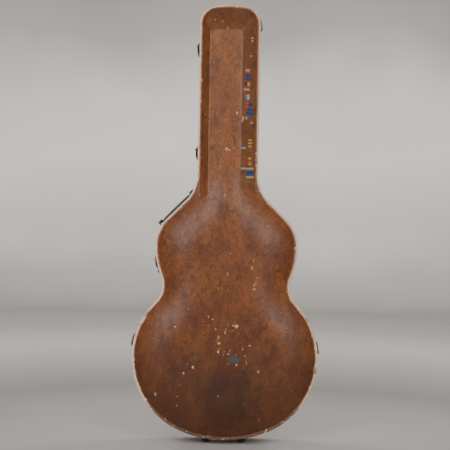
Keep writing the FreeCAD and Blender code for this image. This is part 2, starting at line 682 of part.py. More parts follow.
def make_latches():
    pins, base_rivets, keeper_rivets = [], [], []
    for number, frame in latch_frames().items():
        down = "lock_down" if number == 3 else "plate_down"
        keep(f"latch_{number}_plate", latch_plate(frame, down))
        keep(f"latch_{number}_hasp", latch_hasp(frame))
        keep(f"latch_{number}_slider", latch_slider(frame))
        keep(f"latch_{number}_keeper", latch_keeper(frame))
        pins.append(rod(frame, (d.hasp_pin_high, d.hasp_pin_y, -d.hasp_pin_half),
                        "hasp_pin_radius", "2 * hasp_pin_half"))
        for z in (-d.plate_up + d.rivet_edge, getattr(d, down) - d.rivet_edge):
            base_rivets.append(stud(frame, d.slider_centre, z, "rivet_radius", "rivet_high",
                                    "plate_thick"))
        for z in (-d.keeper_half + d.rivet_edge, d.keeper_half - d.rivet_edge):
            keeper_rivets.append(stud(frame, -d.lug_y + d.lug_depth / 2, z, "rivet_radius",
                                      "rivet_high", "plate_thick"))
    keep("hasp_pins", group(pins))
    keep("latch_rivets", group(base_rivets))
    keep("keeper_rivets", group(keeper_rivets))
    frame = latch_frames()[3]
    barrel = rod(frame, (d.plate_thick, d.slider_centre, d.lock_z), "lock_radius",
                 "lock_high", "x")
    top = d.plate_thick + d.lock_high
    barrel = rounded(barrel, d.lock_round, lambda edge: local(frame, edge).x > top - NEAR)
    key = box(frame, (d.plate_thick + d.lock_high / 2, d.slider_centre - d.key_width / 2,
                      d.lock_z - d.key_length / 2), ("lock_high", "key_width", "key_length"))
    keep("lock_cylinder", cut(barrel, key))


# ---------------------------------------------------------------- handle

def handle_frame():
    """Frame at the middle of the straight shoulder wall, latch side, and half its length."""
    high = arc_point(ARCS["throat"], 45, d.binding)
    low = arc_point(ARCS["shoulder"], 45, d.binding)
    middle = (high + low) * 0.5
    place = Vector(-middle.x, d.seam_y, middle.y + d.foot_gap)
    return Placement(place, FreeCAD.Rotation(Vector(0, 1, 0), -135)), (high - low).Length / 2


def handle_bracket(frame, wall, centre):
    """Plate bedded on the wall with two ears that hold the handle's pin."""
    plate = box(wall, (-d.bed, d.handle_y - d.bracket_width / 2, -d.bracket_length / 2),
                ("bed + plate_thick", "bracket_width", "bracket_length"))
    plate = rounded(plate, d.bracket_corner, lambda edge: along(edge, across(wall, (1, 0, 0))))
    pieces = [plate]
    gap = d.eye_width / 2 + d.ear_play
    for z in (centre - gap - d.ear_thick, centre + gap):
        pieces.append(box(frame, (-d.bed, d.handle_y - d.eye_radius, z),
                          ("bed + pivot_high", "2 * eye_radius", "ear_thick")))
        pieces.append(rod(frame, (d.pivot_high, d.handle_y, z), "eye_radius", "ear_thick"))
    hole = rod(frame, (d.pivot_high, d.handle_y, centre - 2 * gap),
               "handle_pin_radius + pin_clearance", "4 * eye_width")
    return cut(cut(fuse(pieces), hole), outer_form)


def handle_end(frame, centre, inward):
    """Eye, arm and toe that join the pin to one end of the grip; inward points to the grip."""
    eye = rod(frame, (d.pivot_high, d.handle_y, centre - d.eye_width / 2), "eye_radius",
              "eye_width")
    arm_low = d.pivot_high - d.arm_high / 2 - d.arm_drop
    arm = box(frame, (arm_low, d.handle_y, centre - d.arm_width / 2),
              ("arm_high", "grip_reach - arm_short", "arm_width"))
    grip_mid = d.grip_low + d.grip_thick / 2
    run = d.handle_span / 2 - d.grip_length / 2 + d.arm_width / 2
    start = centre - d.arm_width / 2 if inward > 0 else centre + d.arm_width / 2 - run
    toe = box(frame, (grip_mid - d.toe_thick / 2 + d.toe_lift,
                      d.handle_y + d.grip_reach - d.core_width / 2, start),
              ("toe_thick", "core_width", f"{run}"))
    bore = rod(frame, (d.pivot_high, d.handle_y, centre - d.eye_width),
               "handle_pin_radius + pin_clearance", "2 * eye_width")
    return cut(fuse([eye, arm, toe]), bore)


def make_handle():
    frame, half_line = handle_frame()
    grip_z = d.handle_shift - d.grip_length / 2
    grip_y = d.handle_y + d.grip_reach
    grip = box(frame, (d.grip_low, grip_y - d.grip_width / 2, grip_z),
               ("grip_thick", "grip_width", "grip_length"))
    grip = rounded(grip, d.grip_round, lambda edge: along(edge, across(frame, (0, 0, 1))))
    core_x = d.grip_low + d.grip_thick / 2 - d.core_thick / 2
    size = ("core_thick", "core_width", "grip_length")
    corner = (core_x, grip_y - d.core_width / 2, grip_z)
    keep("handle_grip", cut(grip, box(frame, corner, size)))
    keep("handle_core", box(frame, corner, size))
    pins, rivets = [], []
    for name, arc, way in (("upper", ARCS["throat"], -1), ("lower", ARCS["shoulder"], 1)):
        centre = d.handle_shift + way * d.handle_span / 2
        radius = abs(arc[2] - d.binding)
        turn = math.degrees(math.asin((abs(centre) - half_line) / radius))
        wall = wall_frame(arc, 45 - turn, -1)
        keep("handle_bracket_" + name, handle_bracket(frame, wall, centre))
        keep("handle_end_" + name, handle_end(frame, centre, -way))
        pin_half = d.eye_width / 2 + d.ear_play + d.ear_thick + d.pin_proud
        pins.append(rod(frame, (d.pivot_high, d.handle_y, centre - pin_half),
                        "handle_pin_radius", f"{2 * pin_half}"))
        for offset in (-1, 1):
            y = d.handle_y + offset * (d.bracket_width / 2 - 2 * d.rivet_radius)
            rivets.append(stud(wall, y, 0, "rivet_radius", "rivet_high", "plate_thick"))
    keep("handle_pins", group(pins))
    keep("handle_rivets", group(rivets))


outer_form = make_outer_form()
make_base_shell()
make_lid_shell()
make_linings()
make_neck_rest()
make_string_box()
make_feet()
make_hinges()
make_latches()
make_handle()
doc.recompute()

for item in doc.Objects:
    if "Invalid" in item.State or "Error" in item.State:
        raise RuntimeError(f"{item.Label} failed: {item.State}")
os.makedirs("parts", exist_ok=True)
for label, item in nodes.items():
    if item.Shape.isNull() or not item.Shape.isValid() or item.Shape.Volume <= 0:
        raise RuntimeError(f"{label} has no valid solid")
    item.Shape.exportStep(f"parts/{label}.step")
    print(label, len(item.Shape.Solids), round(item.Shape.Volume, 1))
print(len(nodes), "nodes")
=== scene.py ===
"""Looks of the arched-lid guitar case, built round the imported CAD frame. Lengths in metres.

+Z runs up the neck, +Y from the lid to the back, +X to the hinge side. Every shape here follows
the case's outline: an inset is a distance in from that outline, as on the CAD part.
"""
import math
import random

import bmesh
import bpy
import numpy as np
from mathutils import Matrix, Vector, geometry, noise


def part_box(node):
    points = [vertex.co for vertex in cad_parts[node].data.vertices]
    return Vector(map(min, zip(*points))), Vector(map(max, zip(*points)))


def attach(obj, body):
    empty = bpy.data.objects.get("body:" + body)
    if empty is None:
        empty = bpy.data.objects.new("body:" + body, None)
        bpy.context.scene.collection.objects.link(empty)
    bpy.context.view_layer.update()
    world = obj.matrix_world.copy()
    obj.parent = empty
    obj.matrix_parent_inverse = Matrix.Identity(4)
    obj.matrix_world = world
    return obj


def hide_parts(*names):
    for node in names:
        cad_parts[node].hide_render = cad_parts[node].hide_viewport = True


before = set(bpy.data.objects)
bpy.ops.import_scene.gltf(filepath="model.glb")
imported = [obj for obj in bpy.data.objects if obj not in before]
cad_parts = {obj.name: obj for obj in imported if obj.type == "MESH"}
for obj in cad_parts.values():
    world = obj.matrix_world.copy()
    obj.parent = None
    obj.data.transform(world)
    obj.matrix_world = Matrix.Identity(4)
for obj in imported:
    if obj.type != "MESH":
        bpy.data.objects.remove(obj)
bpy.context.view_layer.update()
MM = 0.001
rng = random.Random(7)

# ---- the outline
FOOT_GAP = 12 * MM
CASE_LENGTH = 1118 * MM
NECK_HALF = 78 * MM
UPPER_HALF = 182.5 * MM
WAIST_HALF = 163 * MM
LOWER_HALF = 239 * MM
CROWN_RADIUS = 260 * MM
CORNER_RADIUS = 46 * MM
THROAT_RADIUS = 100 * MM
FLANK_RADIUS = 207 * MM
HIP_RADIUS = 200 * MM
SIDE_RADIUS = 205 * MM
SHOULDER_CROSS = 720.7 * MM
UPPER_HEIGHT = 497 * MM
LOWER_HEIGHT = 212 * MM
DIAGONAL = math.sqrt(2) - 1


def waist_circle():
    """Centre and radius of the hollow arc that touches the flank and hip arcs at the waist."""
    flank = (UPPER_HALF - FLANK_RADIUS, FLANK_RADIUS)
    hip = (LOWER_HALF - HIP_RADIUS, HIP_RADIUS)

    def reach(circle, radius):
        return math.sqrt((circle[1] + radius) ** 2 - (WAIST_HALF + radius - circle[0]) ** 2)

    small, large = MM, 0.4
    for _ in range(60):
        middle = (small + large) / 2
        if reach(flank, middle) + reach(hip, middle) < UPPER_HEIGHT - LOWER_HEIGHT:
            small = middle
        else:
            large = middle
    return WAIST_HALF + small, LOWER_HEIGHT + reach(hip, small), small


def outline_arcs():
    """(centre x, centre height, radius, first normal, last normal) from the crown to the tail."""
    crown_z = CASE_LENGTH - CROWN_RADIUS
    corner_x = NECK_HALF - CORNER_RADIUS
    corner_z = crown_z + math.sqrt((CROWN_RADIUS - CORNER_RADIUS) ** 2 - corner_x ** 2)
    corner_turn = math.degrees(math.atan2(corner_z - crown_z, corner_x))
    throat_z = SHOULDER_CROSS - NECK_HALF + DIAGONAL * THROAT_RADIUS
    shoulder_radius = (SHOULDER_CROSS - UPPER_HALF - UPPER_HEIGHT) / DIAGONAL
    flank_x = UPPER_HALF - FLANK_RADIUS
    hip_x = LOWER_HALF - HIP_RADIUS
    waist_x, waist_z, waist_radius = waist_circle()
    above = math.degrees(math.atan2(waist_z - UPPER_HEIGHT, waist_x - flank_x))
    below = math.degrees(math.atan2(waist_z - LOWER_HEIGHT, waist_x - hip_x))
    side_x = LOWER_HALF - SIDE_RADIUS
    tail_radius = ((side_x ** 2 + LOWER_HEIGHT ** 2 - SIDE_RADIUS ** 2)
                   / (2 * (LOWER_HEIGHT - SIDE_RADIUS)))
    tail_turn = math.degrees(math.atan2(LOWER_HEIGHT - tail_radius, side_x))
    return [(0, crown_z, CROWN_RADIUS, 90, corner_turn),
            (corner_x, corner_z, CORNER_RADIUS, corner_turn, 0),
            (NECK_HALF + THROAT_RADIUS, throat_z, -THROAT_RADIUS, 0, 45),
            (UPPER_HALF - shoulder_radius, UPPER_HEIGHT, shoulder_radius, 45, 0),
            (flank_x, UPPER_HEIGHT, FLANK_RADIUS, 0, above),
            (waist_x, waist_z, -waist_radius, above, below),
            (hip_x, LOWER_HEIGHT, HIP_RADIUS, below, 0),
            (side_x, LOWER_HEIGHT, SIDE_RADIUS, 0, tail_turn),
            (0, tail_radius, tail_radius, tail_turn, -90)]


def outline_stations(step):
    """Points and outward normals round the closed outline, clockwise from the crown."""
    right = []
    for centre_x, centre_z, radius, first, last in outline_arcs():
        count = max(2, math.ceil(abs(radius) * math.radians(abs(last - first)) / step))
        for k in range(count + 1):
            turn = math.radians(first + (last - first) * k / count)
            normal = (math.cos(turn), math.sin(turn))
            point = (centre_x + radius * normal[0], centre_z + FOOT_GAP + radius * normal[1])
            if right:
                before = right[-1][0]
                run = math.dist(before, point)
                if run < step / 10:
                    continue
                for part in range(1, math.ceil(run / step)):
                    share = part / math.ceil(run / step)
                    between = [a + (b - a) * share for a, b in zip(before, point)]
                    right.append((tuple(between), normal))
            right.append((point, normal))
    left = [((-p[0], p[1]), (-n[0], n[1])) for p, n in right[-2:0:-1]]
    stations = right + left
    return np.array([p for p, _ in stations]), np.array([n for _, n in stations])


RING, RING_NORMAL = outline_stations(3 * MM)
COUNT = len(RING)
ALONG = np.concatenate([[0], np.cumsum(np.linalg.norm(np.diff(RING, axis=0), axis=1))])

# ---- the arch of the lid
BORDER_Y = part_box("lid_panel")[1][1] - 5 * MM
LAP = 8 * MM
LAST_RING = 24 * MM
BEVEL_RISE = 14.8 * MM
PLATEAU_RISE = 1.3 * MM
CREASE_LEFT = -51 * MM
CREASE_RIGHT = 32.5 * MM
CREASE_TOP = FOOT_GAP + CASE_LENGTH - 63 * MM
ARCH_RISE = BORDER_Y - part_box("lid_panel")[0][1]
ARCH_REACH = 98 * MM
ARCH_POWER = 2.05
NECK_ENDS = 600 * MM
NECK_STARTS = 730 * MM
FOOT_OF_CREASE = 640 * MM
BEVELS_START = 720 * MM
CORNER_RUN = 17 * MM
CREASE_EASE = 0.35 * MM
FOLD_GAP = 0.9 * MM
FOLD_STEP = 4 * MM
GRID_STEP = 5 * MM
FAR = 9


def smooth(value, low, high):
    """0 below low, 1 above high, and smooth between."""
    share = np.clip((value - low) / (high - low), 0, 1)
    return share * share * (3 - 2 * share)


def ring_at(inset):
    """The outline moved in by an inset."""
    return RING - RING_NORMAL * inset


def neck_rise(inset, x, z):
    """The neck's four bevel planes, which meet the flat crest in a crisp crease."""
    left = (x + NECK_HALF - LAP) / (CREASE_LEFT + NECK_HALF - LAP)
    right = (NECK_HALF - LAP - x) / (NECK_HALF - LAP - CREASE_RIGHT)
    crown = FOOT_GAP + CASE_LENGTH - CROWN_RADIUS
    top = CROWN_RADIUS - np.hypot(x, z - crown)
    head = np.where(z > crown, (top - LAP) / (FOOT_GAP + CASE_LENGTH - CREASE_TOP - LAP), FAR)
    corner = (inset - LAP) / CORNER_RUN
    bevel = np.minimum(np.minimum(left, right), np.minimum(head, corner)) * BEVEL_RISE
    flat = BEVEL_RISE + PLATEAU_RISE * smooth(inset, 30 * MM, 78 * MM)
    ease = CREASE_EASE * np.log1p(np.exp(-np.abs(bevel - flat) / CREASE_EASE))
    rise = np.minimum(bevel, flat) - ease
    return np.clip(rise, 0, None), bevel < flat


def arch_rise(inset, x, z):
    """How far the lid stands in front of its border."""
    body = ARCH_RISE * (1 - (1 - np.clip((inset - LAP) / ARCH_REACH, 0, 1)) ** ARCH_POWER)
    share = smooth(z, NECK_ENDS, NECK_STARTS)
    return np.where(inset > LAP, neck_rise(inset, x, z)[0] * share + body * (1 - share), 0)


# ---- meshes from the outline

def crease_points():
    """Three close rows of points along the crest's crease, and the edges that join them."""
    points, edges = [], []
    for offset in (-FOLD_GAP, 0, FOLD_GAP):
        left, right, top = CREASE_LEFT - offset, CREASE_RIGHT + offset, CREASE_TOP + offset
        corners = [(left, FOOT_OF_CREASE), (left, top), (right, top), (right, FOOT_OF_CREASE)]
        first = len(points)
        for a, b in zip(corners, corners[1:]):
            count = round(math.dist(a, b) / FOLD_STEP)
            points += [tuple(p + (q - p) * k / count for p, q in zip(a, b)) for k in range(count)]
        points.append(corners[-1])
        edges += [(k, k + 1) for k in range(first, len(points) - 1)]
    return np.array(points), edges


def reach_of(points, line):
    """Distance from each point to a closed line, run by run."""
    nearest = np.full(len(points), float(FAR))
    for a, b in zip(line, np.roll(line, -1, axis=0)):
        run = b - a
        along = np.clip((points - a) @ run / (run @ run), 0, 1)
        away = points - a - along[:, None] * run
        nearest = np.minimum(nearest, np.hypot(away[:, 0], away[:, 1]))
    return nearest


def inner_points(spacing):
    """A grid of points inside the last ring, clear of it and of the crease."""
    edge = ring_at(LAST_RING)
    columns = np.arange(-LOWER_HALF, LOWER_HALF, spacing)
    rows = np.arange(FOOT_GAP, FOOT_GAP + CASE_LENGTH, spacing * math.sqrt(0.75))
    x, z = np.meshgrid(columns, rows)
    x = x + (np.arange(len(rows)) % 2)[:, None] * spacing / 2
    points = np.stack([x.ravel(), z.ravel()], axis=1)
    inside = np.zeros(len(points), bool)
    for a, b in zip(edge, np.roll(edge, -1, axis=0)):
        crosses = (a[1] > points[:, 1]) != (b[1] > points[:, 1])
        if crosses.any():
            at = a[0] + (points[:, 1] - a[1]) * (b[0] - a[0]) / (b[1] - a[1] + 1e-12)
            inside ^= crosses & (points[:, 0] < at)
    points = points[inside]
    points = points[reach_of(points, edge) > spacing * 0.55]
    x, z = points.T
    beside = np.minimum(np.abs(x - CREASE_LEFT), np.abs(x - CREASE_RIGHT))
    beside = np.where((z > FOOT_OF_CREASE - spacing) & (z < CREASE_TOP + spacing), beside, FAR)
    above = np.where((x > CREASE_LEFT - spacing) & (x < CREASE_RIGHT + spacing),
                     np.abs(z - CREASE_TOP), FAR)
    return points[np.minimum(beside, above) > FOLD_GAP + spacing * 0.45]


def fill_inside():
    """Triangles over the last ring's points followed by the points inside it."""
    edge = ring_at(LAST_RING)
    crease, folds = crease_points()
    points = np.concatenate([crease, inner_points(GRID_STEP)])
    flat = [Vector(p) for p in np.concatenate([edge, points])]
    sides = [(k, (k + 1) % COUNT) for k in range(COUNT)]
    sides += [(COUNT + a, COUNT + b) for a, b in folds]
    out = geometry.delaunay_2d_cdt(flat, sides, [list(range(COUNT))], 1, 1e-7)
    back = {new: old[0] for new, old in enumerate(out[3])}
    faces = [tuple(back[v] for v in face) for face in out[2]]
    return points, LAST_RING + reach_of(points, edge), faces


INNER, INNER_INSET, INNER_FACES = fill_inside()


def add_object(name, data):
    """A new object in the scene."""
    thing = bpy.data.objects.new(name, data)
    bpy.context.scene.collection.objects.link(thing)
    return thing


def new_mesh(name, verts, faces, sharp=35):
    """A smooth-shaded object from vertices and faces, with outward normals."""
    mesh = bpy.data.meshes.new(name)
    mesh.from_pydata([tuple(v) for v in verts], [], [tuple(int(i) for i in f) for f in faces])
    shape = bmesh.new()
    shape.from_mesh(mesh)
    bmesh.ops.recalc_face_normals(shape, faces=shape.faces)
    shape.to_mesh(mesh)
    shape.free()
    mesh.shade_smooth()
    mesh.set_sharp_from_angle(angle=math.radians(sharp))
    return add_object(name, mesh)


def store(piece, name, values):
    """Keep a number on each of a mesh's points, for its material."""
    mark = piece.data.attributes.new(name, "FLOAT", "POINT")
    mark.data.foreach_set("value", np.asarray(values, np.float32))


def sheet_points(insets, depth):
    """Vertices of rings at each inset and of the inside, at the depth that depth() gives."""
    rows = [(np.full(COUNT, inset), ring_at(inset)) for inset in insets] + [(INNER_INSET, INNER)]
    return np.concatenate([np.stack([points[:, 0], depth(inset, *points.T), points[:, 1]], axis=1)
                           for inset, points in rows])


def tube_faces(rings, around, start=0):
    """Four-sided faces between rings of points that follow each other from start on."""
    faces = []
    for ring in range(rings - 1):
        for step in range(around):
            a, b = [start + ring * around + k % around for k in (step, step + 1)]
            faces.append((a, b, b + around, a + around))
    return faces


def tube_ends(rings, around, start=0):
    """Faces that close the first and last ring of a tube."""
    return [tuple(start + ring * around + step for step in range(around))
            for ring in (0, rings - 1)]


def panel(name, insets, front, back, sharp=35):
    """A closed shell over the whole outline, between two depth functions."""
    insets = [i * MM for i in insets] + [LAST_RING]
    faces = tube_faces(len(insets), COUNT)
    inner = (len(insets) - 1) * COUNT
    faces += [tuple(inner + v for v in face) for face in INNER_FACES]
    first, second = sheet_points(insets, front), sheet_points(insets, back)
    total = len(first)
    other = [tuple(total + v for v in reversed(face)) for face in faces]
    edge = [(k, total + k, total + (k + 1) % COUNT, (k + 1) % COUNT) for k in range(COUNT)]
    return new_mesh(name, np.concatenate([first, second]), faces + other + edge, sharp)


def strip(name, section, wander=None, edge=0.0):
    """A closed section of (inset, y) in mm, carried round the outline.

    Each point keeps how far it lies from the case's corner at y = edge, for the wear on it.
    """
    verts = []
    for k in range(COUNT):
        for number, (inset, y) in enumerate(section):
            shift = wander(k, number) if wander else (0.0, 0.0)
            point = RING[k] - RING_NORMAL[k] * (inset * MM + shift[0])
            verts.append((point[0], y * MM + shift[1], point[1]))
    size = len(section)
    faces = []
    for row in range(COUNT):
        for col in range(size):
            a, b = row * size + col, row * size + (col + 1) % size
            c = (row + 1) % COUNT * size
            faces.append((a, b, c + (col + 1) % size, c + col))
    piece = new_mesh(name, verts, faces)
    store(piece, "inset", [max(inset, abs(y - edge)) for inset, y in section] * COUNT)
    return piece


def rough(x, y, z, scale, seed=0.0):
    """Smooth noise from -1 to 1 at a place."""
    return noise.noise(Vector((x * scale + seed, y * scale, z * scale)))


# ---- node materials

class Look:
    """A node material in the making. Places are the piece's own coordinates, in metres."""

    def __init__(self, name):
        self.material = bpy.data.materials.new(name)
        self.material.use_nodes = True
        self.tree = self.material.node_tree
        self.shader = self.tree.nodes["Principled BSDF"]
        self.place = self.tree.nodes.new("ShaderNodeTexCoord").outputs["Object"]

    def feed(self, socket, value):
        """Link another node's output to a socket, or set its constant."""
        if isinstance(value, bpy.types.NodeSocket):
            self.tree.links.new(value, socket)
        elif socket.type == "RGBA" and len(value) == 3:
            socket.default_value = (*value, 1)
        else:
            socket.default_value = value

    def add(self, kind, inputs, **settings):
        """A node of a kind, with its inputs fed and its settings set."""
        node = self.tree.nodes.new("ShaderNode" + kind)
        for key, value in settings.items():
            setattr(node, key, value)
        for key, value in inputs.items():
            self.feed(node.inputs[key], value)
        return node

    def noise(self, scale, detail=4.0, harsh=0.6, warp=0.0, place=None):
        """Cloudy noise, about 0.3 to 0.7."""
        inputs = {"Vector": place or self.place, "Scale": scale, "Detail": detail,
                  "Roughness": harsh, "Distortion": warp}
        return self.add("TexNoise", inputs).outputs["Fac"]

    def cells(self, scale, feature="F1", out="Distance", place=None):
        """Cells round scattered points: the distance to them, or what out names."""
        inputs = {"Vector": place or self.place, "Scale": scale}
        return self.add("TexVoronoi", inputs, feature=feature).outputs[out]

    def stretched(self, x, y, z, **more):
        """Coordinates scaled by axis, for grain that runs one way."""
        inputs = {"Vector": self.place, **more, "Scale": (x, y, z)}
        return self.add("Mapping", inputs).outputs["Vector"]

    def distance(self, a, b):
        """How far apart two places are."""
        return self.add("VectorMath", {0: a, 1: b}, operation="DISTANCE").outputs["Value"]

    def calc(self, operation, a, b=0.0):
        """One arithmetic step."""
        return self.add("Math", {0: a, 1: b}, operation=operation).outputs[0]

    def times(self, a, b):
        """a * b."""
        return self.calc("MULTIPLY", a, b)

    def plus(self, a, b):
        """a + b."""
        return self.calc("ADD", a, b)

    def minus(self, a, b):
        """a - b."""
        return self.calc("SUBTRACT", a, b)

    def rise(self, value, low, high):
        """A smooth step of value between low and high. high may be the smaller."""
        inputs = {"Value": value, "From Min": low, "From Max": high}
        node = self.add("MapRange", inputs, interpolation_type="SMOOTHSTEP")
        return node.outputs["Result"]

    def mix(self, factor, a, b):
        """From a at a factor of 0 to b at 1."""
        node = self.add("Mix", {}, data_type="RGBA")
        self.feed(node.inputs[0], factor)
        self.feed(node.inputs[6], a)
        self.feed(node.inputs[7], b)
        return node.outputs[2]

    def tint(self, colour, where, share, other):
        """A colour turned by share towards another one where a mask is 1."""
        return self.mix(self.times(where, share), colour, other)

    def ramp(self, value, *stops):
        """Colour stops of (place, colour)."""
        node = self.add("ValToRGB", {"Fac": value})
        band = node.color_ramp
        while len(band.elements) < len(stops):
            band.elements.new(0.5)
        for element, (place, colour) in zip(band.elements, stops):
            element.position = place
            element.color = (*colour, 1)
        return node.outputs["Color"]

    def bump(self, height, strength, distance, under=None):
        """A normal for fine relief, over another one if given."""
        inputs = {"Height": height, "Strength": strength, "Distance": distance}
        node = self.add("Bump", inputs)
        if under is not None:
            self.feed(node.inputs["Normal"], under)
        return node.outputs["Normal"]

    def axis(self, name):
        """One coordinate of the place."""
        return self.add("SeparateXYZ", {"Vector": self.place}).outputs[name]

    def mark(self, name):
        """A number stored on the mesh's points."""
        return self.add("Attribute", {}, attribute_name=name).outputs["Fac"]

    def near(self, point, radius):
        """1 at a point, falling smoothly to 0 at a radius."""
        return self.rise(self.distance(self.place, point), radius, 0.0)

    def finish(self, **sockets):
        """Set the shader's sockets, with _ for a space in their names."""
        for name, value in sockets.items():
            self.feed(self.shader.inputs[name.replace("_", " ")], value)
        return self.material


LEATHER_TAN = (0.268, 0.084, 0.021)
LEATHER_RED = (0.178, 0.050, 0.017)
LEATHER_DARK = (0.040, 0.015, 0.006)
LEATHER_WORN = (0.48, 0.32, 0.17)
LEATHER_BARE = (0.68, 0.50, 0.31)
SMUDGE_GREY = (0.075, 0.080, 0.085)


def leatherette(name, front=False):
    """Mottled red-brown leatherette with dark veins, darkened towards the bottom as painted shade.
    The lid's own has its scars as well.
    """
    look = Look(name)
    clouds = look.noise(24, 5, 0.60, 0.5, look.stretched(1, 1, 0.55))
    smudges = look.noise(36, 8, 0.74, 1.0, look.stretched(1, 1, 0.7))
    grain = look.noise(210, 4, 0.75, 0.8)
    broad = look.noise(8, 3, 0.5, 0.6)
    tone = look.plus(look.times(clouds, 0.65), look.times(broad, 0.35))
    colour = look.mix(look.rise(tone, 0.42, 0.58), LEATHER_RED, LEATHER_TAN)
    height = look.axis("Z")
    colour = look.tint(colour, look.rise(height, 0.55, 0.80), 0.20, (0.52, 0.160, 0.012))
    drift = look.add("TexNoise", {"Vector": look.place, "Scale": 26.0, "Detail": 5.0,
                                  "Roughness": 0.65}).outputs["Color"]
    pushed = look.add("VectorMath", {0: drift, 1: (0.05, 0.05, 0.05), 2: look.place},
                      operation="MULTIPLY_ADD").outputs["Vector"]
    veins = look.cells(38, "DISTANCE_TO_EDGE", place=pushed)
    vein = look.times(look.rise(veins, 0.11, 0.0), look.rise(broad, 0.46, 0.56))
    dark = look.rise(smudges, 0.46, 0.68)
    colour = look.tint(colour, dark, 0.64, LEATHER_DARK)
    colour = look.tint(colour, vein, 0.30, LEATHER_DARK)
    colour = look.tint(colour, look.rise(grain, 0.47, 0.66), 0.55, (0.05, 0.018, 0.007))
    colour = look.tint(colour, look.rise(grain, 0.45, 0.30), 0.35, (0.44, 0.16, 0.045))
    # painted shade: the leatherette darkens towards the bottom of the case
    colour = look.tint(colour, look.rise(height, 0.42, 0.04), 0.66, (0.064, 0.028, 0.016))
    if front:
        colour = front_scars(look, colour)
    pores = look.cells(1150)
    creases = look.noise(420, 5, 0.65)
    relief = look.plus(look.times(pores, 0.5), creases)
    normal = look.bump(relief, 0.32, 0.0005)
    waves = look.noise(15, 3, 0.5)
    normal = look.bump(waves, 0.35, 0.0022, normal)
    dull = look.plus(0.24, look.times(smudges, 0.20))
    return look.finish(Base_Color=colour, Roughness=dull, Normal=normal, Specular_IOR_Level=0.36)


def front_scars(look, colour):
    """The lid's painted shade on its neck bevels and low in its middle, its chips, long scratches
    and the rubbed patch low on the body.
    """
    # painted shade: the neck's bevels darkened, a little more on the head's end bevel
    crown = look.times(look.rise(look.axis("Z"), CREASE_TOP - 0.01, CREASE_TOP + 0.01), 0.06)
    shade = look.times(look.mark("bevel"), look.plus(crown, 0.36))
    colour = look.mix(shade, colour, (0.045, 0.018, 0.010))
    # painted shade: the lid's lower centre darkened, with a cloudy edge
    low_centre_shade = look.plus(look.near((0.012, BORDER_Y - 0.015, 0.125), 0.17),
                      look.times(look.minus(look.noise(14, 5, 0.65), 0.5), 0.6))
    colour = look.tint(colour, look.rise(low_centre_shade, 0.25, 0.95), 0.5, (0.030, 0.012, 0.007))
    squat = look.stretched(1, 0, 2, Location=(-PATCH[0], 0, -PATCH[1] * 2))
    away = look.add("VectorMath", {0: squat}, operation="LENGTH").outputs["Value"]
    away = look.plus(away, look.times(look.noise(90, 5, 0.7), 0.016))
    colour = look.tint(colour, look.rise(away, 0.028, 0.020), 0.85, SMUDGE_GREY)
    chance = 0.0
    for x, z, radius, share in CHIP_AREAS:
        here = look.times(look.near((x, BORDER_Y - 0.015, z), radius), share)
        chance = look.calc("MAXIMUM", chance, here) if chance else here
    torn = look.noise(330, 4, 0.65)
    for scale, size, turn, squeeze in ((80, 0.34, -0.5, 0.55), (170, 0.38, 0.3, 0.7),
                                       (110, 0.24, 0.9, 0.28), (140, 0.24, -0.7, 0.25)):
        place = look.stretched(1, 1, squeeze, Rotation=(0, turn, 0))
        lot = look.add("SeparateColor", {"Color": look.cells(scale, out="Color", place=place)})
        pick = look.plus(lot.outputs[0], look.times(chance, 0.30))
        ragged_size = look.plus(look.cells(scale, place=place),
                                look.times(look.minus(torn, 0.3), 0.9))
        spot = look.rise(ragged_size, size + 0.06, size)
        chip = look.times(look.calc("GREATER_THAN", pick, 0.992), spot)
        colour = look.mix(chip, colour, LEATHER_WORN)
    flat = look.stretched(1, 0, 1)
    for x, z, radius in BARE_SPOTS:
        away = look.distance(flat, (x * MM, 0, z * MM))
        away = look.plus(away, look.times(look.minus(torn, 0.5), radius * 4 * MM))
        bare = look.rise(away, radius * 0.85 * MM, radius * 0.6 * MM)
        colour = look.mix(bare, colour, LEATHER_BARE)
    lines = look.noise(5, 3, 0.6, 2.2, look.stretched(30, 1, 6))
    scratch = look.rise(look.calc("ABSOLUTE", look.minus(lines, 0.5)), 0.0022, 0.0)
    sparse = look.rise(look.noise(12, 2, 0.5), 0.53, 0.6)
    colour = look.tint(colour, look.times(scratch, sparse), 0.35, (0.36, 0.20, 0.12))
    return colour


# Where the leatherette is chipped, as x, height, radius and how densely.
CHIP_AREAS = ((0.015, 0.285, 0.050, 1.1), (-0.045, 0.32, 0.030, 0.8), (0.0, 0.245, 0.045, 1.3),
              (-0.085, 0.21, 0.025, 1.0), (-0.008, 0.775, 0.014, 1.4), (0.012, 0.86, 0.012, 1.4),
              (0.085, 0.415, 0.03, 0.7), (0.02, 0.308, 0.026, 2.0), (0.055, 0.235, 0.03, 1.3),
              (-0.015, 0.262, 0.022, 1.8))
PATCH = (0.024, 0.222)
# The largest bare spots: x, height and radius in mm.
BARE_SPOTS = ((29, 307, 5.5), (20, 309, 3.0), (-15, 263, 3.6), (-17, 241, 3.6), (-81, 201, 4.0),
              (-24, 299, 2.4), (-43, 331, 2.4), (-32, 324, 2.6), (-104, 184, 3.0), (9, 236, 2.6),
              (63, 258, 2.8), (52, 232, 2.4), (30, 208, 3.0), (-4, 759, 3.4), (3, 757, 2.4),
              (21, 852, 3.2), (72, 412, 2.6), (73, 402, 3.0), (-128, 303, 2.6))


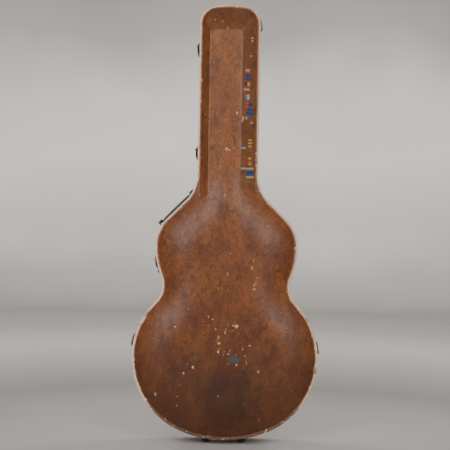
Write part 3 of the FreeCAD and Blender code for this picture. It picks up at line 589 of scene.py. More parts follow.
def edge_strip(name):
    """Stitched leatherette strip, rubbed pale along its outer edge, with painted shade round the
    tail and a painted highlight on its left side.
    """
    look = Look(name)
    inset = look.mark("inset")
    wander = look.noise(55, 5, 0.7, 0.6)
    fine = look.noise(190, 5, 0.7)
    height = look.axis("Z")
    side = look.axis("X")
    reach = look.plus(inset, look.times(look.minus(wander, 0.5), 6.0))
    # painted shade: low on the case the strip is kept from going pale and darkened almost to black
    low = look.rise(height, 0.13, 0.035)
    reach = look.plus(reach, look.times(low, 3.4))
    hips = look.times(look.rise(height, 0.48, 0.34), look.rise(height, 0.06, 0.16))
    reach = look.minus(reach, look.times(hips, 1.5))
    pale = look.rise(reach, 4.7, 3.5)
    brown = look.mix(look.rise(fine, 0.35, 0.65), (0.32, 0.105, 0.030), (0.15, 0.048, 0.018))
    tan = look.mix(look.rise(wander, 0.35, 0.65), (0.72, 0.38, 0.20), (0.90, 0.62, 0.42))
    # painted highlight: the pale edge turns pinker and whiter on the case's left side
    left_side_highlight = look.rise(side, 0.02, -0.06)
    tan = look.tint(tan, left_side_highlight, 0.75, (0.95, 0.74, 0.62))
    # painted shade: the strip's brown goes almost black near the bottom
    brown = look.tint(brown, low, 0.9, (0.05, 0.018, 0.009))
    colour = look.mix(pale, brown, tan)
    # dark worn patches, with more of them near the bottom as painted shade
    worn = look.plus(look.noise(34, 5, 0.72, 0.5), look.times(low, 0.20))
    colour = look.tint(colour, look.rise(worn, 0.57, 0.68), 0.8, (0.17, 0.064, 0.028))
    streaks = look.noise(300, 4, 0.7, 1.2)
    colour = look.tint(colour, look.rise(streaks, 0.50, 0.62), 0.30, (0.22, 0.095, 0.05))
    chips = look.plus(look.noise(72, 5, 0.7, 0.8), look.times(hips, 0.05))
    chips = look.rise(chips, 0.60, 0.64)
    colour = look.tint(colour, chips, 0.9, (0.80, 0.62, 0.38))
    dirt = look.rise(look.noise(85, 5, 0.7), 0.6, 0.8)
    colour = look.tint(colour, dirt, 0.45, (0.07, 0.035, 0.022))
    normal = look.bump(look.plus(fine, look.noise(700, 3, 0.6)), 0.4, 0.0006)
    return look.finish(Base_Color=colour, Roughness=0.52, Normal=normal, Specular_IOR_Level=0.5)


def scaled(colour, factor):
    """A colour made lighter or darker."""
    return tuple(c * factor for c in colour)


def thread(name, colour):
    """Waxed thread with its twist."""
    look = Look(name)
    twist = look.noise(1500, 2, 0.5)
    shade = look.mix(look.rise(twist, 0.3, 0.7), colour, scaled(colour, 0.55))
    return look.finish(Base_Color=shade, Roughness=0.62, Normal=look.bump(twist, 0.5, 0.0003))


def metal(name, base, tarnish, rust=0.25, polish=0.28):
    """Aged plated metal: tarnish in clouds, fine scratches and a few rust freckles."""
    look = Look(name)
    clouds = look.noise(110, 5, 0.7)
    brushed = look.noise(240, 4, 0.6, 0.0, look.stretched(1, 8, 1))
    freckles = look.rise(look.noise(420, 3, 0.6), 0.62, 0.72)
    colour = look.mix(look.rise(clouds, 0.38, 0.66), base, tarnish)
    colour = look.tint(colour, freckles, rust, (0.13, 0.045, 0.018))
    dull = look.plus(polish, look.times(clouds, 0.3))
    dull = look.plus(dull, look.times(freckles, 0.25))
    normal = look.bump(look.plus(brushed, freckles), 0.12, 0.0004)
    return look.finish(Base_Color=colour, Metallic=0.92, Roughness=dull, Normal=normal)


def enamel(name):
    """Black enamel, thin enough that the steel shows in scratches."""
    look = Look(name)
    worn = look.rise(look.noise(190, 5, 0.75), 0.6, 0.68)
    colour = look.mix(look.noise(60, 3, 0.5), (0.014, 0.014, 0.015), (0.032, 0.03, 0.028))
    colour = look.mix(worn, colour, (0.20, 0.18, 0.15))
    dull = look.plus(0.34, look.times(worn, 0.2))
    normal = look.bump(look.minus(look.noise(500, 3, 0.5), worn), 0.15, 0.0004)
    return look.finish(Base_Color=colour, Metallic=look.times(worn, 0.8), Roughness=dull,
                       Normal=normal)


def strap_leather(name, dark, light, grain=900):
    """Strap leather, rubbed lighter where hands have polished it."""
    look = Look(name)
    rub = look.noise(45, 4, 0.6)
    pores = look.cells(grain)
    colour = look.mix(look.rise(rub, 0.38, 0.7), dark, light)
    colour = look.mix(look.rise(pores, 0.35, 0.1), colour, scaled(dark, 0.5))
    dull = look.plus(0.34, look.times(rub, 0.24))
    return look.finish(Base_Color=colour, Roughness=dull, Normal=look.bump(pores, 0.35, 0.0006))


def plush(name, deep, pile):
    """Velvet pile brushed both ways, with a soft sheen."""
    look = Look(name)
    brushed = look.noise(26, 6, 0.7, 0.4)
    tufts = look.noise(900, 3, 0.7)
    patches = look.noise(60, 4, 0.6)
    colour = look.mix(look.rise(brushed, 0.36, 0.64), deep, pile)
    colour = look.tint(colour, look.rise(tufts, 0.4, 0.75), 0.55, scaled(pile, 1.7))
    colour = look.tint(colour, look.rise(patches, 0.6, 0.8), 0.4, scaled(deep, 0.45))
    normal = look.bump(look.plus(tufts, look.times(brushed, 0.6)), 0.6, 0.0011)
    return look.finish(Base_Color=colour, Roughness=0.92, Normal=normal, Sheen_Weight=0.55,
                       Sheen_Roughness=0.4, Sheen_Tint=(0.85, 0.30, 0.32, 1))


def woven(name, colour):
    """Cotton tape with its warp and weft."""
    look = Look(name)
    inputs = {"Vector": look.place, "Scale": 320.0, "Distortion": 0.6}
    warp, weft = [look.add("TexWave", inputs, bands_direction=way).outputs["Fac"] for way in "XZ"]
    weave = look.calc("MAXIMUM", warp, weft)
    shade = look.mix(look.rise(weave, 0.2, 0.9), scaled(colour, 0.4), colour)
    shade = look.mix(look.rise(look.noise(70), 0.4, 0.8), shade, scaled(colour, 0.6))
    return look.finish(Base_Color=shade, Roughness=0.88, Normal=look.bump(weave, 0.5, 0.0004))


def painted_ply(name):
    """Dark stained plywood lip with its grain."""
    look = Look(name)
    grain = look.noise(60, 5, 0.65, 0.4, look.stretched(1, 12, 1))
    colour = look.mix(look.rise(grain, 0.35, 0.65), (0.035, 0.02, 0.014), (0.12, 0.06, 0.035))
    dull = look.plus(0.42, look.times(grain, 0.2))
    return look.finish(Base_Color=colour, Roughness=dull, Normal=look.bump(grain, 0.25, 0.0005))


def rubber(name):
    """Old black rubber with dust in its pores."""
    look = Look(name)
    dust = look.rise(look.noise(130, 5, 0.7), 0.48, 0.75)
    colour = look.mix(dust, (0.014, 0.013, 0.012), (0.085, 0.075, 0.065))
    normal = look.bump(look.noise(800, 3, 0.6), 0.4, 0.0004)
    dull = look.plus(0.6, look.times(dust, 0.25))
    return look.finish(Base_Color=colour, Roughness=dull, Normal=normal)


def paper(name, colour):
    """Old printed paper: faded, stained and rubbed through in specks."""
    look = Look(name)
    fade = look.noise(90, 4, 0.6)
    rub = look.rise(look.noise(520, 4, 0.7), 0.58, 0.66)
    shade = look.mix(look.rise(fade, 0.3, 0.8), colour, tuple(c * 0.7 + 0.01 for c in colour))
    shade = look.tint(shade, rub, 0.7, (0.22, 0.12, 0.08))
    return look.finish(Base_Color=shade, Roughness=0.6, Normal=look.bump(rub, 0.3, 0.0002))


# ---- giving looks to pieces

def put(piece, body, slot, *replaced):
    """Put a finished piece on its body and hide the CAD nodes it stands for. The slot is not used.
    """
    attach(piece, body)
    if replaced:
        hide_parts(*replaced)


def dress(piece, body, material, slot, *replaced):
    """Give a piece its one material and put it on its body."""
    piece.data.materials.clear()
    piece.data.materials.append(material)
    put(piece, body, slot, *replaced)


def dress_plush(piece, body, node):
    """Dress a plush piece on its body, in place of its CAD node."""
    dress(piece, body, PLUSH, "plush", node)


def join(name, pieces):
    """Several meshes as one object, keeping each one's materials."""
    verts, faces, slots, materials, insets = [], [], [], [], []
    for piece in pieces:
        start = len(verts)
        verts += [tuple(piece.matrix_world @ v.co) for v in piece.data.vertices]
        mark = piece.data.attributes.get("inset")
        insets += [m.value for m in mark.data] if mark else [0.0] * (len(verts) - start)
        index = []
        for material in piece.data.materials:
            if material not in materials:
                materials.append(material)
            index.append(materials.index(material))
        for face in piece.data.polygons:
            faces.append(tuple(start + v for v in face.vertices))
            slots.append(index[face.material_index] if index else 0)
        bpy.data.objects.remove(piece)
    whole = new_mesh(name, verts, faces, 40)
    store(whole, "inset", insets)
    for material in materials:
        whole.data.materials.append(material)
    whole.data.polygons.foreach_set("material_index", slots)
    return whole


THREAD_SECTION = ((-0.5, 0.35), (-0.32, 0.9), (0, 1.0), (0.32, 0.9), (0.5, 0.35))
THREAD_SIDES = 6
TO_BACK = Vector((0, 1, 0))
STITCH_LEAN = 0.2
STITCH_SWAY = 0.08


def stitch_line(inset, y, spacing):
    """Stitches along the outline, as threads() takes them."""
    spots, place = [], 0.0
    while place < ALONG[-1]:
        k = min(int(np.searchsorted(ALONG, place)), COUNT - 1)
        place += spacing
        normal = Vector((RING_NORMAL[k][0], 0, RING_NORMAL[k][1]))
        centre = Vector((RING[k][0], y, RING[k][1])) - normal * inset
        tangent = Vector((normal.z, 0, -normal.x))
        lean = STITCH_LEAN + rng.uniform(-STITCH_SWAY, STITCH_SWAY)
        line = (tangent + normal * lean).normalized()
        spots.append((centre, line, line.cross(TO_BACK), TO_BACK))
    return spots


def threads(name, spots, length, radius):
    """Short raised threads at (place, direction and the two axes across it), as one mesh."""
    verts, faces = [], []
    rings = len(THREAD_SECTION)
    for centre, line, one, two in spots:
        start = len(verts)
        for end, share in THREAD_SECTION:
            for turn in range(THREAD_SIDES):
                angle = turn * math.tau / THREAD_SIDES
                around = one * math.cos(angle) + two * math.sin(angle)
                verts.append(centre + line * end * length + around * radius * share)
        faces += tube_faces(rings, THREAD_SIDES, start)
        faces += tube_ends(rings, THREAD_SIDES, start)
    return new_mesh(name, verts, faces, 60)


# ---- materials
LEATHERETTE = leatherette("leatherette")
LEATHERETTE_FRONT = leatherette("leatherette_lid", front=True)
EDGE_STRIP = edge_strip("edge_strip")
EDGE_THREAD = thread("edge_thread", (0.46, 0.33, 0.24))
PLUSH = plush("wine_plush", (0.105, 0.009, 0.014), (0.19, 0.020, 0.028))
PLUSH_DARK = plush("wine_plush_dark", (0.055, 0.006, 0.010), (0.15, 0.016, 0.024))
TAPE = woven("cloth_tape", (0.20, 0.030, 0.035))
TAB_LEATHER = strap_leather("tab_leather", (0.12, 0.055, 0.026), (0.30, 0.16, 0.08))
GRIP_LEATHER = strap_leather("grip_leather", (0.030, 0.033, 0.032), (0.115, 0.125, 0.118), 700)
GRIP_THREAD = thread("grip_thread", (0.10, 0.095, 0.085))
# The near-black and dark brass copies are painted shade for latches 1 and 2; the pale brass is a
# painted highlight on the hasps of latches 3 and 4.
BRASS = metal("aged_brass", (0.22, 0.18, 0.12), (0.035, 0.030, 0.024), 0.3)
DARK_BRASS = metal("dark_brass", (0.10, 0.085, 0.062), (0.022, 0.019, 0.016), 0.35, 0.32)
SHADED_BRASS = metal("shaded_latch_brass", (0.030, 0.027, 0.024), (0.010, 0.009, 0.008), 0.2, 0.34)
PALE_HIGHLIGHT_BRASS = metal("pale_highlight_brass", (0.74, 0.54, 0.32), (0.34, 0.21, 0.11), 0.4, 0.3)
STEEL = metal("tarnished_steel", (0.34, 0.31, 0.28), (0.085, 0.075, 0.066), 0.5)
SCREW = metal("screw_steel", (0.46, 0.42, 0.36), (0.16, 0.13, 0.10), 0.6)
ENAMEL = enamel("worn_enamel")
LIP = painted_ply("stained_lip")
RUBBER = rubber("old_rubber")


# ---- lid
LID_BACK = 4.6 * MM
# Side walls: node, piece, body, which end of the node's depth is the parting line, thickness.
WALLS = (("lid_rim", "lid_wall", "lid", 1, 4.2), ("base_rim", "base_wall", "base", 0, 5.0))
EDGE_TURN = ((0.0, 1.5), (0.10, 0.95), (0.42, 0.42), (0.95, 0.10), (1.6, 0.0))


def lid_front(inset, x, z):
    """Depth of the lid's outer face, with its shallow dents."""
    dents = np.array([rough(a, 0, b, 11.0) + 0.5 * rough(a, 3, b, 27.0) for a, b in zip(x, z)])
    return (BORDER_Y - arch_rise(inset, x, z)
            + dents * 0.28 * MM * smooth(inset, LAP, 20 * MM))


def lid_back(inset, x, z):
    """Depth of the lid's inner face."""
    return BORDER_Y - arch_rise(inset, x, z) + LID_BACK


def make_lid():
    """The arched lid, which keeps where its neck's bevels are for the material's painted shade."""
    insets = [1.3, 3, 5, 7.9, 8.3, 9, 10, 11.5, 13.5, 15.5, 17.5, 20, 22]
    cover = panel("lid_cover", insets, lid_front, lid_back)
    rings = [np.full(COUNT, inset) for inset in [*(i * MM for i in insets), LAST_RING]]
    levels = np.concatenate([*rings, INNER_INSET])
    half = len(cover.data.vertices) // 2
    place = np.array([(v.co.x, v.co.z) for v in cover.data.vertices[:half]])
    sloping = neck_rise(levels, place[:, 0], place[:, 1])[1]
    bevel = sloping * smooth(place[:, 1], FOOT_OF_CREASE, BEVELS_START)
    store(cover, "bevel", np.concatenate([bevel, bevel]))
    dress(cover, "lid", LEATHERETTE_FRONT, "leatherette_shell", "lid_panel")


def wall_section(outer, inner, parting, far):
    """A wall's section in mm: the leatherette turns in round the edge at the parting line."""
    way = math.copysign(1, far - parting)
    turn = [(outer + inset, parting + way * y) for inset, y in EDGE_TURN]
    middle = (parting + far) / 2
    return [(outer, middle), *turn, (inner, parting), (inner, middle), (inner, far), (outer, far)]


def make_walls():
    """The side walls of the lid and of the tray."""
    for node, name, body, seam, thick in WALLS:
        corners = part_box(node)
        outer = LOWER_HALF / MM - corners[1].x / MM
        section = wall_section(outer, outer + thick, corners[seam].y / MM,
                               corners[1 - seam].y / MM)
        dress(strip(name, section), body, LEATHERETTE, "leatherette_shell", node)


def ragged(amount, seed, moving):
    """Uneven lap edge: the section points in moving shift in and out along the outline."""
    def wander(k, number):
        x, z = RING[k]
        wave = rough(x, seed, z, 38) + 0.6 * rough(x, seed + 4, z, 110)
        lift = 0.12 * MM * rough(x, seed + 9, z, 70)
        on_face = number < 6
        return (wave * amount if number in moving else 0.0, lift if on_face else 0.0)
    return wander


# The edge strip's section: inset and depth behind the face it laps on to, in mm.
LAP_SECTION = ((8.0, 0.0), (7.9, -0.75), (7.2, -1.0), (5.9, -0.95), (5.5, -0.82), (5.1, -0.95),
               (3.4, -1.12), (1.7, -1.1), (0.7, -0.85), (0.15, -0.3), (0.0, 0.6), (0.0, 3.4),
               (0.05, 6.5), (0.5, 7.0), (1.15, 6.9), (1.2, 0.0))
LAP_CORNER = (0, 1, 2)
LAP_WANDER = 0.45 * MM
SEAM_INSET = 5.5 * MM
SEAM_LIFT = 0.95 * MM
STITCH_SPACING = 4.6 * MM
STITCH_LENGTH = 2.9 * MM
STITCH_RADIUS = 0.3 * MM


def make_bindings():
    """The stitched edge strips round the lid's face and round the back."""
    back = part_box("base_back_panel")[1].y
    for body, node, seed, face, way in (("lid", "lid_binding", 1.0, BORDER_Y, 1),
                                        ("base", "base_binding", 6.0, back, -1)):
        section = [(inset, face / MM + way * y) for inset, y in LAP_SECTION]
        edge = strip(body + "_edge_strip", section, ragged(LAP_WANDER, seed, LAP_CORNER), face / MM)
        edge.data.materials.append(EDGE_STRIP)
        spots = stitch_line(SEAM_INSET, face - way * SEAM_LIFT, STITCH_SPACING)
        seam = threads(body + "_edge_stitches", spots, STITCH_LENGTH, STITCH_RADIUS)
        seam.data.materials.append(EDGE_THREAD)
        put(join(body + "_edging", [edge, seam]), body, "edge_binding", node)


# ---- linings

LINING_GAP = 5.25 * MM


def make_lid_lining():
    """Plush glued inside the lid's arch."""
    def outer(inset, x, z):
        return BORDER_Y - arch_rise(inset, x, z) + LINING_GAP

    def inner(inset, x, z):
        puff = np.array([rough(a, 8, b, 16.0) for a, b in zip(x, z)]) * 0.35 * MM
        thick = 2.6 * MM * smooth(inset, 5.9 * MM, 9 * MM) + 0.5 * MM
        return outer(inset, x, z) + thick + puff

    insets = [6.2, 6.6, 7.2, 8, 9.5, 12, 15, 18, 21]
    dress_plush(panel("lid_plush", insets, outer, inner, 60), "lid", "lid_lining")


def make_wall_lining():
    """Plush round the tray's wall, rolled over at its front edge."""
    low, high = [corner.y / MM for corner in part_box("wall_lining")]
    roll = [(6.45, 1.6), (6.8, 0.6), (7.8, 0.05), (9.2, 0.1), (10.4, 0.9), (10.9, 2.4),
            (10.3, 4.6), (10.2, 6.5), (11.0, 12), (11.15, 24), (11.15, 40)]
    section = [(inset, low + y) for inset, y in roll]
    section += [(11.1, high - 6), (11.1, high - 0.3), (6.45, high - 0.3), (6.45, low + 30)]
    soft = (8, 9, 10)

    def wander(k, number):
        x, z = RING[k]
        return (rough(x, number, z, 24) * 0.35 * MM - 0.35 * MM if number in soft else 0.0, 0.0)

    dress_plush(strip("wall_plush", section, wander), "base", "wall_lining")


def make_floor_pad():
    """Thin padding on the tray's floor, rounded down at its rim."""
    front, back = [corner[1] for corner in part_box("floor_pad")]

    def top(inset, x, z):
        edge = 2.6 * MM * (1 - smooth(inset, 11.6 * MM, 19 * MM)) ** 1.5
        soft = np.array([rough(a, 5, b, 9.0) + 0.4 * rough(a, 2, b, 30.0) for a, b in zip(x, z)])
        return front + edge + (soft + 1.0) * 0.55 * MM

    def bottom(inset, *_):
        return np.full(len(inset), back - 0.2 * MM)

    insets = [11.7, 12.0, 12.6, 13.6, 15, 17, 19.5, 22]
    dress_plush(panel("floor_plush", insets, top, bottom, 60), "base", "floor_pad")


# ---- stuffed pads

PUFF_STEPS = 15
PUFF_PRESSURE = 3.0
PUFF_CAP = 1.4 * MM
PAD_VOXEL = 3.2 * MM
PAD_SHRINK = 1.5 * MM
PAD_MARGIN = 0.1 * MM
# Stuffed pads: node, piece and how tightly it is filled.
PADS = (("head_pad", "head_cushion", 0.7), ("tail_pad", "tail_cushion", 0.6),
        ("neck_rest", "neck_cushion", 0.8))


def remeshed(name, node):
    """A CAD soft solid as an even mesh, drawn in by PAD_SHRINK."""
    piece = add_object(name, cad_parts[node].data.copy())
    even = piece.modifiers.new("even", "REMESH")
    even.mode = "VOXEL"
    even.voxel_size = PAD_VOXEL
    round_off = piece.modifiers.new("round_off", "SMOOTH")
    round_off.factor = 0.5
    round_off.iterations = 6
    draw_in = piece.modifiers.new("draw_in", "DISPLACE")
    draw_in.strength = -PAD_SHRINK
    draw_in.mid_level = 0
    return bake(piece)


def bake(piece):
    """Replace a piece's mesh with what its modifiers make of it."""
    graph = bpy.context.evaluated_depsgraph_get()
    mesh = bpy.data.meshes.new_from_object(piece.evaluated_get(graph))
    piece.modifiers.clear()
    piece.data = mesh
    mesh.shade_smooth()
    return piece


def puff(piece):
    """Blow a closed pad up like a stuffed cover; no point moves further than PUFF_CAP."""
    rest = np.empty(len(piece.data.vertices) * 3, np.float32)
    piece.data.vertices.foreach_get("co", rest)
    cloth = piece.modifiers.new("stuffing", "CLOTH")
    cloth.settings.use_pressure = True
    cloth.settings.uniform_pressure_force = PUFF_PRESSURE
    cloth.settings.quality = 5
    cloth.settings.effector_weights.gravity = 0
    cloth.settings.shrink_min = -0.01
    scene = bpy.context.scene
    for step in range(1, PUFF_STEPS + 1):
        scene.frame_set(step)
    bake(piece)
    scene.frame_set(1)
    moved = np.empty_like(rest)
    piece.data.vertices.foreach_get("co", moved)
    shift = (moved - rest).reshape(-1, 3)
    length = np.linalg.norm(shift, axis=1, keepdims=True)
    shift *= np.minimum(1, PUFF_CAP / np.maximum(length, 1e-9))
    piece.data.vertices.foreach_set("co", (rest.reshape(-1, 3) + shift).astype(np.float32).ravel())
    piece.data.update()


def make_pads():
    """The stuffed pads, puffed by cloth simulation inside their CAD solids' boxes."""
    for node, name, fill in PADS:
        pad = remeshed(name, node)
        puff(pad)
        low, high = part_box(node)
        for vertex in pad.data.vertices:
            vertex.co += vertex.normal * (rough(*vertex.co, 30, 2.0) * 0.25 * MM)
            for axis in range(3):
                vertex.co[axis] = min(max(vertex.co[axis], low[axis] + PAD_MARGIN),
                                      high[axis] - PAD_MARGIN)
        finer = pad.modifiers.new("finer", "SUBSURF")
        finer.levels = finer.render_levels = 1
        bake(pad)
        dress_plush(pad, "base", node)


# ---- CAD nodes that stay

def keep_nodes(names, material, width=0, segments=2):
    """Give CAD nodes their material, and ease their edges by a width."""
    for name in names.split():
        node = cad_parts[name]
        node.data.materials.clear()
        node.data.materials.append(material)
        if width:
            ease = node.modifiers.new("ease", "BEVEL")
            ease.width = width
            ease.segments = segments
            ease.limit_method = "ANGLE"
            ease.angle_limit = math.radians(50)
            ease.use_clamp_overlap = True


def dress_cad_nodes():
    """Finishes for the CAD nodes whose shape is right."""
    keep_nodes("base_back_panel", LEATHERETTE)
    keep_nodes("base_tongue", LIP)
    for number in range(1, 5):
        # painted shade on latches 1 and 2, painted highlight on the hasps of latches 3 and 4
        fixed, moving = (SHADED_BRASS, DARK_BRASS) if number < 3 else (BRASS, PALE_HIGHLIGHT_BRASS)
        keep_nodes(f"latch_{number}_plate latch_{number}_keeper", fixed)
        keep_nodes(f"latch_{number}_hasp latch_{number}_slider", moving)
    keep_nodes("hasp_pins lock_cylinder latch_rivets keeper_rivets handle_rivets", BRASS)
    for end in ("upper", "lower"):
        keep_nodes(f"hinge_{end}_base_leaf hinge_{end}_lid_leaf", STEEL)
        keep_nodes(f"hinge_{end}_pin", SCREW)
        keep_nodes(f"handle_bracket_{end} handle_end_{end}", ENAMEL)
    keep_nodes("handle_core", ENAMEL)
    keep_nodes("handle_pins foot_screws hinge_base_screws hinge_lid_screws", SCREW)
    for row in ("front", "back"):
        keep_nodes(f"tail_foot_{row}_left tail_foot_{row}_right", RUBBER)
    keep_nodes("string_box_wall string_box_cleat_left string_box_cleat_right string_box_flap",
               PLUSH_DARK, 0.9 * MM, 3)
    keep_nodes("string_box_hinge_tape", TAPE, 0.2 * MM)
    keep_nodes("flap_pull_tab", TAB_LEATHER, 0.3 * MM)


# ---- handle

GRIP_HALF_LENGTH = 47 * MM
GRIP_HALF_THICK = 5 * MM
GRIP_SIDES = 32
GRIP_END = 0.9


def grip_stitches(centre, down, out, half_width):
    """A row of stitches by each edge of the strap, as threads() takes them."""
    one = down.orthogonal().normalized()
    spots = []
    for side in (-1, 1):
        for number in range(-10, 11):
            share = number / 11.5
            spot = (centre + down * GRIP_HALF_LENGTH * share + TO_BACK * side * half_width * 0.74
                    + out * GRIP_HALF_THICK * (0.90 - 0.10 * share ** 2))
            spots.append((spot, down, one, down.cross(one)))
    return spots


def make_grip():
    """A strap grip: crowned outside, pinched at its ends, with a row of stitches by each edge."""
    low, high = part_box("handle_grip")
    centre = (low + high) / 2
    out = Vector((-1, 0, 1)).normalized()
    down = Vector((-1, 0, -1)).normalized()
    half_width = (high.y - low.y) / 2
    verts = []
    tip = [GRIP_END, 0.95, 0.98, 0.995, 1]
    shares = [-share for share in reversed(tip)] + [k / 10 for k in range(-8, 9)] + tip
    for share in shares:
        past = max(0, (abs(share) - GRIP_END) / 0.1)
        size = 0.55 + 0.45 * math.sqrt(max(0, 1 - past ** 2))
        belly = 1 - 0.16 * share ** 2
        middle = centre + down * GRIP_HALF_LENGTH * share + out * 0.3 * MM * (1 - share ** 2)
        for step in range(GRIP_SIDES):
            turn = step * math.tau / GRIP_SIDES
            c, s = math.cos(turn), math.sin(turn)
            wide = half_width * 0.97 * math.copysign(abs(c) ** 0.55, c) * size
            thick = GRIP_HALF_THICK * belly * math.copysign(abs(s) ** 0.8, s) * size
            ripple = rough(wide * 60, share * 9, s, 1.0) * 0.08 * MM
            verts.append(middle + TO_BACK * wide + out * (thick + ripple))
    faces = tube_faces(len(shares), GRIP_SIDES)
    faces += tube_ends(len(shares), GRIP_SIDES)
    grip = new_mesh("grip_strap", verts, faces, 60)
    grip.data.materials.append(GRIP_LEATHER)
    spots = grip_stitches(centre, down, out, half_width)
    row = threads("grip_stitches", spots, 2.6 * MM, 0.33 * MM)
    row.data.materials.append(GRIP_THREAD)
    put(join("handle_strap", [grip, row]), "handle", "handle_cover", "handle_grip")


# ---- stickers
PAPER = {"cream": (0.46, 0.30, 0.14), "white": (0.46, 0.38, 0.28), "navy": (0.008, 0.020, 0.085),
         "blue": (0.012, 0.060, 0.19), "teal": (0.02, 0.17, 0.24), "red": (0.34, 0.018, 0.014),
         "pink": (0.36, 0.07, 0.06), "yellow": (0.52, 0.30, 0.02), "orange": (0.42, 0.11, 0.015),
         "grey": (0.11, 0.07, 0.05), "green": (0.06, 0.12, 0.03)}
# Old travel labels up the right bevel: x, height, width and length in mm, then their bands from
# the foot up, or from left to right after a bar.
LABELS = ((57, 1041, 6, 12, "cream grey cream"), (55, 1002, 5, 11, "cream grey grey"),
          (46.5, 961, 12, 12, "pink white pink"), (47.5, 943.5, 14, 11, "navy blue navy"),
          (46, 926.5, 14, 10, "|navy yellow"), (44.5, 912, 15, 11, "red white orange"),
          (46, 893, 12, 13, "|teal white"), (45.5, 872, 7, 17, "pink red pink"),
          (56, 876, 10, 11, "navy navy blue"), (54, 854, 17, 20, "blue navy blue navy"),
          (40.5, 836, 14, 14, "|cream orange cream"), (58.5, 829, 8, 8, "cream grey"),
          (55.5, 775, 9, 20, "yellow grey yellow grey yellow"), (38.5, 765, 12, 9, "cream blue"),
          (56, 729, 8, 19, "yellow orange grey yellow"), (39, 710, 13, 13, "grey cream grey"),
          (56.5, 699, 19, 27, "cream blue navy blue cream"), (55, 674, 12, 11, "red orange green"))
LABEL_LIFT = 0.22 * MM
LABEL_THICK = 1.6
LABEL_LEAN = 0.08
LABEL_TEAR = 0.35 * MM
BAND_CELLS = 4
ACROSS_CELLS = 6


def depth_at(x, z):
    """The lid's front depth along the neck, before dents."""
    inset = NECK_HALF - abs(x)
    return BORDER_Y - float(arch_rise(*(np.array([v]) for v in (inset, x, z)))[0])


def label_outline(columns, rows):
    """The numbers of a label grid's edge points, in order."""
    wide = columns + 1
    return ([k for k in range(columns)] + [wide * r + columns for r in range(rows)]
            + [wide * rows + k for k in range(columns, 0, -1)]
            + [wide * r for r in range(rows, 0, -1)])


def make_label(x, z, width, length, bands, looks):
    """One label, laid on the lid with slightly torn edges."""
    across = bands.startswith("|")
    bands = bands.strip("|").split()
    columns, rows = ACROSS_CELLS, BAND_CELLS * len(bands)
    if across:
        columns, rows = rows, columns
    lean = rng.uniform(-LABEL_LEAN, LABEL_LEAN)
    verts, faces, slots = [], [], []
    for row in range(rows + 1):
        for col in range(columns + 1):
            u = (col / columns - 0.5) * width * MM
            v = (row / rows - 0.5) * length * MM
            if row in (0, rows) or col in (0, columns):
                u += rng.uniform(-LABEL_TEAR, LABEL_TEAR)
                v += rng.uniform(-LABEL_TEAR, LABEL_TEAR)
            px = x * MM + u * math.cos(lean) - v * math.sin(lean)
            pz = z * MM + u * math.sin(lean) + v * math.cos(lean)
            verts.append((px, depth_at(px, pz) - LABEL_LIFT, pz))
    total = len(verts)
    verts += [(a, b + LABEL_LIFT * LABEL_THICK, c) for a, b, c in verts]
    wide = columns + 1
    for row in range(rows):
        for col in range(columns):
            a = row * wide + col
            faces.append((a, a + 1, a + 1 + wide, a + wide))
            slots.append((col if across else row) // BAND_CELLS)
    edge = label_outline(columns, rows)
    faces += [(a, b, b + total, a + total) for a, b in zip(edge, edge[1:] + edge[:1])]
    slots += [0] * len(edge)
    label = new_mesh("label", verts, faces, 30)
    for band in bands:
        label.data.materials.append(looks[band])
    label.data.polygons.foreach_set("material_index", slots)
    return label


def make_labels():
    """The travel labels, as one piece on the lid."""
    looks = {name: paper("paper_" + name, colour) for name, colour in PAPER.items()}
    pieces = [make_label(*label, looks) for label in LABELS]
    put(join("travel_labels", pieces), "lid", "leatherette_shell")


# ---- studio
EYE_HEIGHT = 0.5646
EYE_DISTANCE = 3.0
EYE_SIDE = -4.9 * MM
FIELD = 1.155
SENSOR = 0.036
ROLL = 1.0


def make_camera():
    """A camera square on to the lid, rolled as the photographer's was."""
    data = bpy.data.cameras.new("camera")
    data.sensor_width = SENSOR / MM
    data.lens = SENSOR * EYE_DISTANCE / FIELD / MM
    eye = add_object("camera", data)
    front = BORDER_Y - 1 * MM
    turn = Matrix.Rotation(math.radians(90), 4, "X") @ Matrix.Rotation(math.radians(ROLL), 4, "Z")
    eye.matrix_world = Matrix.Translation((EYE_SIDE, front - EYE_DISTANCE, EYE_HEIGHT)) @ turn
    bpy.context.scene.camera = eye


FLOOR_REACH = 4.5
FLOOR_CURVE = 0.6
WALL_HEIGHT = 4.0
# Grey of the studio paper, by floor radius and then by height up the wall: painted light and shade
# in pale and dark bands.
PAPER_LIGHT_BANDS = ((0.0, 0.62), (0.6, 0.50), (1.1, 0.33), (1.7, 0.40), (2.4, 0.44), (3.4, 0.30),
               (4.6, 0.27), (5.2, 0.41), (5.6, 0.62), (6.1, 0.74), (6.5, 0.62), (7.0, 0.32),
               (7.6, 0.20))


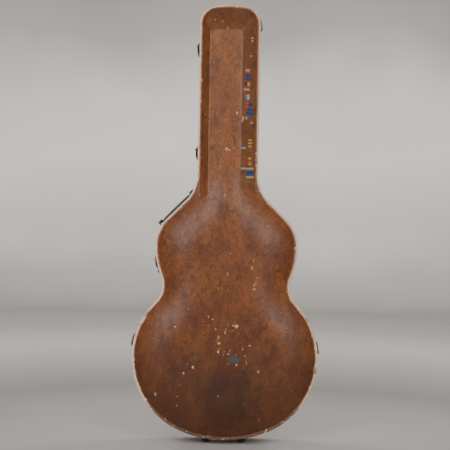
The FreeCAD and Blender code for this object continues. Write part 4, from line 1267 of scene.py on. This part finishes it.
def make_bowl():
    """A round sweep: a pale floor that curves up into a wall, the same from every side, with
    painted light and shade in grey bands.
    """
    profile = [(0.8 * k, 0.0) for k in range(1, 6)] + [(FLOOR_REACH, 0.0)]
    for step in range(1, 13):
        turn = step / 12 * math.pi / 2
        profile.append((FLOOR_REACH + FLOOR_CURVE * math.sin(turn),
                        FLOOR_CURVE * (1 - math.cos(turn))))
    profile.append((FLOOR_REACH + FLOOR_CURVE, WALL_HEIGHT))
    around = 96
    verts = [(0, 0, 0)]
    for radius, height in profile:
        for step in range(around):
            turn = step * math.tau / around
            verts.append((radius * math.cos(turn), radius * math.sin(turn), height))
    faces = [(0, 1 + step, 1 + (step + 1) % around) for step in range(around)]
    faces += tube_faces(len(profile), around, 1)
    bowl = new_mesh("studio_bowl", verts, faces, 80)
    look = Look("studio_paper")
    flat = look.add("VectorMath", {0: look.place, 1: (1, 1, 0)}, operation="MULTIPLY")
    reach = look.add("VectorMath", {0: flat.outputs["Vector"]}, operation="LENGTH")
    along = look.plus(reach.outputs["Value"], look.axis("Z"))
    cloudy = look.times(look.minus(look.noise(1.1, 3, 0.5), 0.5), 0.5)
    along = look.plus(along, cloudy)
    # painted light and shade: grey bands by distance out and height up
    span = PAPER_LIGHT_BANDS[-1][0]
    colour = look.ramp(look.calc("DIVIDE", along, span),
                       *((place / span, (tone, tone * 0.955, tone * 0.915))
                         for place, tone in PAPER_LIGHT_BANDS))
    bowl.data.materials.append(look.finish(Base_Color=colour, Roughness=0.9,
                                           Specular_IOR_Level=0.1))


def area_light(name, place, aim, width, height, power, colour):
    """A soft box aimed at a point, which the camera doesn't see."""
    data = bpy.data.lights.new(name, "AREA")
    data.shape = "RECTANGLE"
    data.size, data.size_y = width, height
    data.energy = power
    data.color = colour
    light = add_object(name, data)
    look = Vector(aim) - Vector(place)
    turn = look.to_track_quat("-Z", "Y").to_matrix().to_4x4()
    light.matrix_world = Matrix.Translation(place) @ turn
    light.visible_camera = False


def make_lights():
    """Two tall soft boxes, a top light, two lights behind and a ring that washes the wall."""
    warm, cool = (1.0, 0.97, 0.93), (0.93, 0.96, 1.0)
    area_light("left_softbox", (-1.08, -2.55, 1.25), (0, 0, 0.7), 0.55, 1.5, 28, cool)
    area_light("right_softbox", (1.02, -2.55, 1.2), (0, 0, 0.7), 0.55, 1.5, 25, warm)
    area_light("front_top", (0.0, -2.6, 2.2), (0, 0, 0.8), 1.8, 0.9, 11, warm)
    area_light("back_left", (-2.4, 2.0, 2.6), (0, 0, 0.6), 1.2, 1.2, 34, cool)
    area_light("back_right", (2.4, 2.0, 2.6), (0, 0, 0.6), 1.2, 1.2, 34, warm)
    for number in range(8):
        turn = number * math.tau / 8
        behind = math.sin(turn) > 0.5
        inward, outward = [(r * math.cos(turn), r * math.sin(turn)) for r in (3.0, 5.1)]
        area_light(f"wall_wash_{number}", (*inward, 3.3), (*outward, 1.0), 1.6, 0.5,
                   75 if behind else 22, (1.0, 0.985, 0.96))
    world = bpy.data.worlds.new("studio")
    world.use_nodes = True
    sky = world.node_tree.nodes["Background"].inputs
    sky["Color"].default_value = (0.86, 0.87, 0.9, 1)
    sky["Strength"].default_value = 0.22
    bpy.context.scene.world = world


for make in (make_lid, make_walls, make_bindings, make_lid_lining, make_wall_lining, make_floor_pad,
             make_pads, dress_cad_nodes, make_grip, make_labels, make_bowl, make_lights,
             make_camera):
    make()
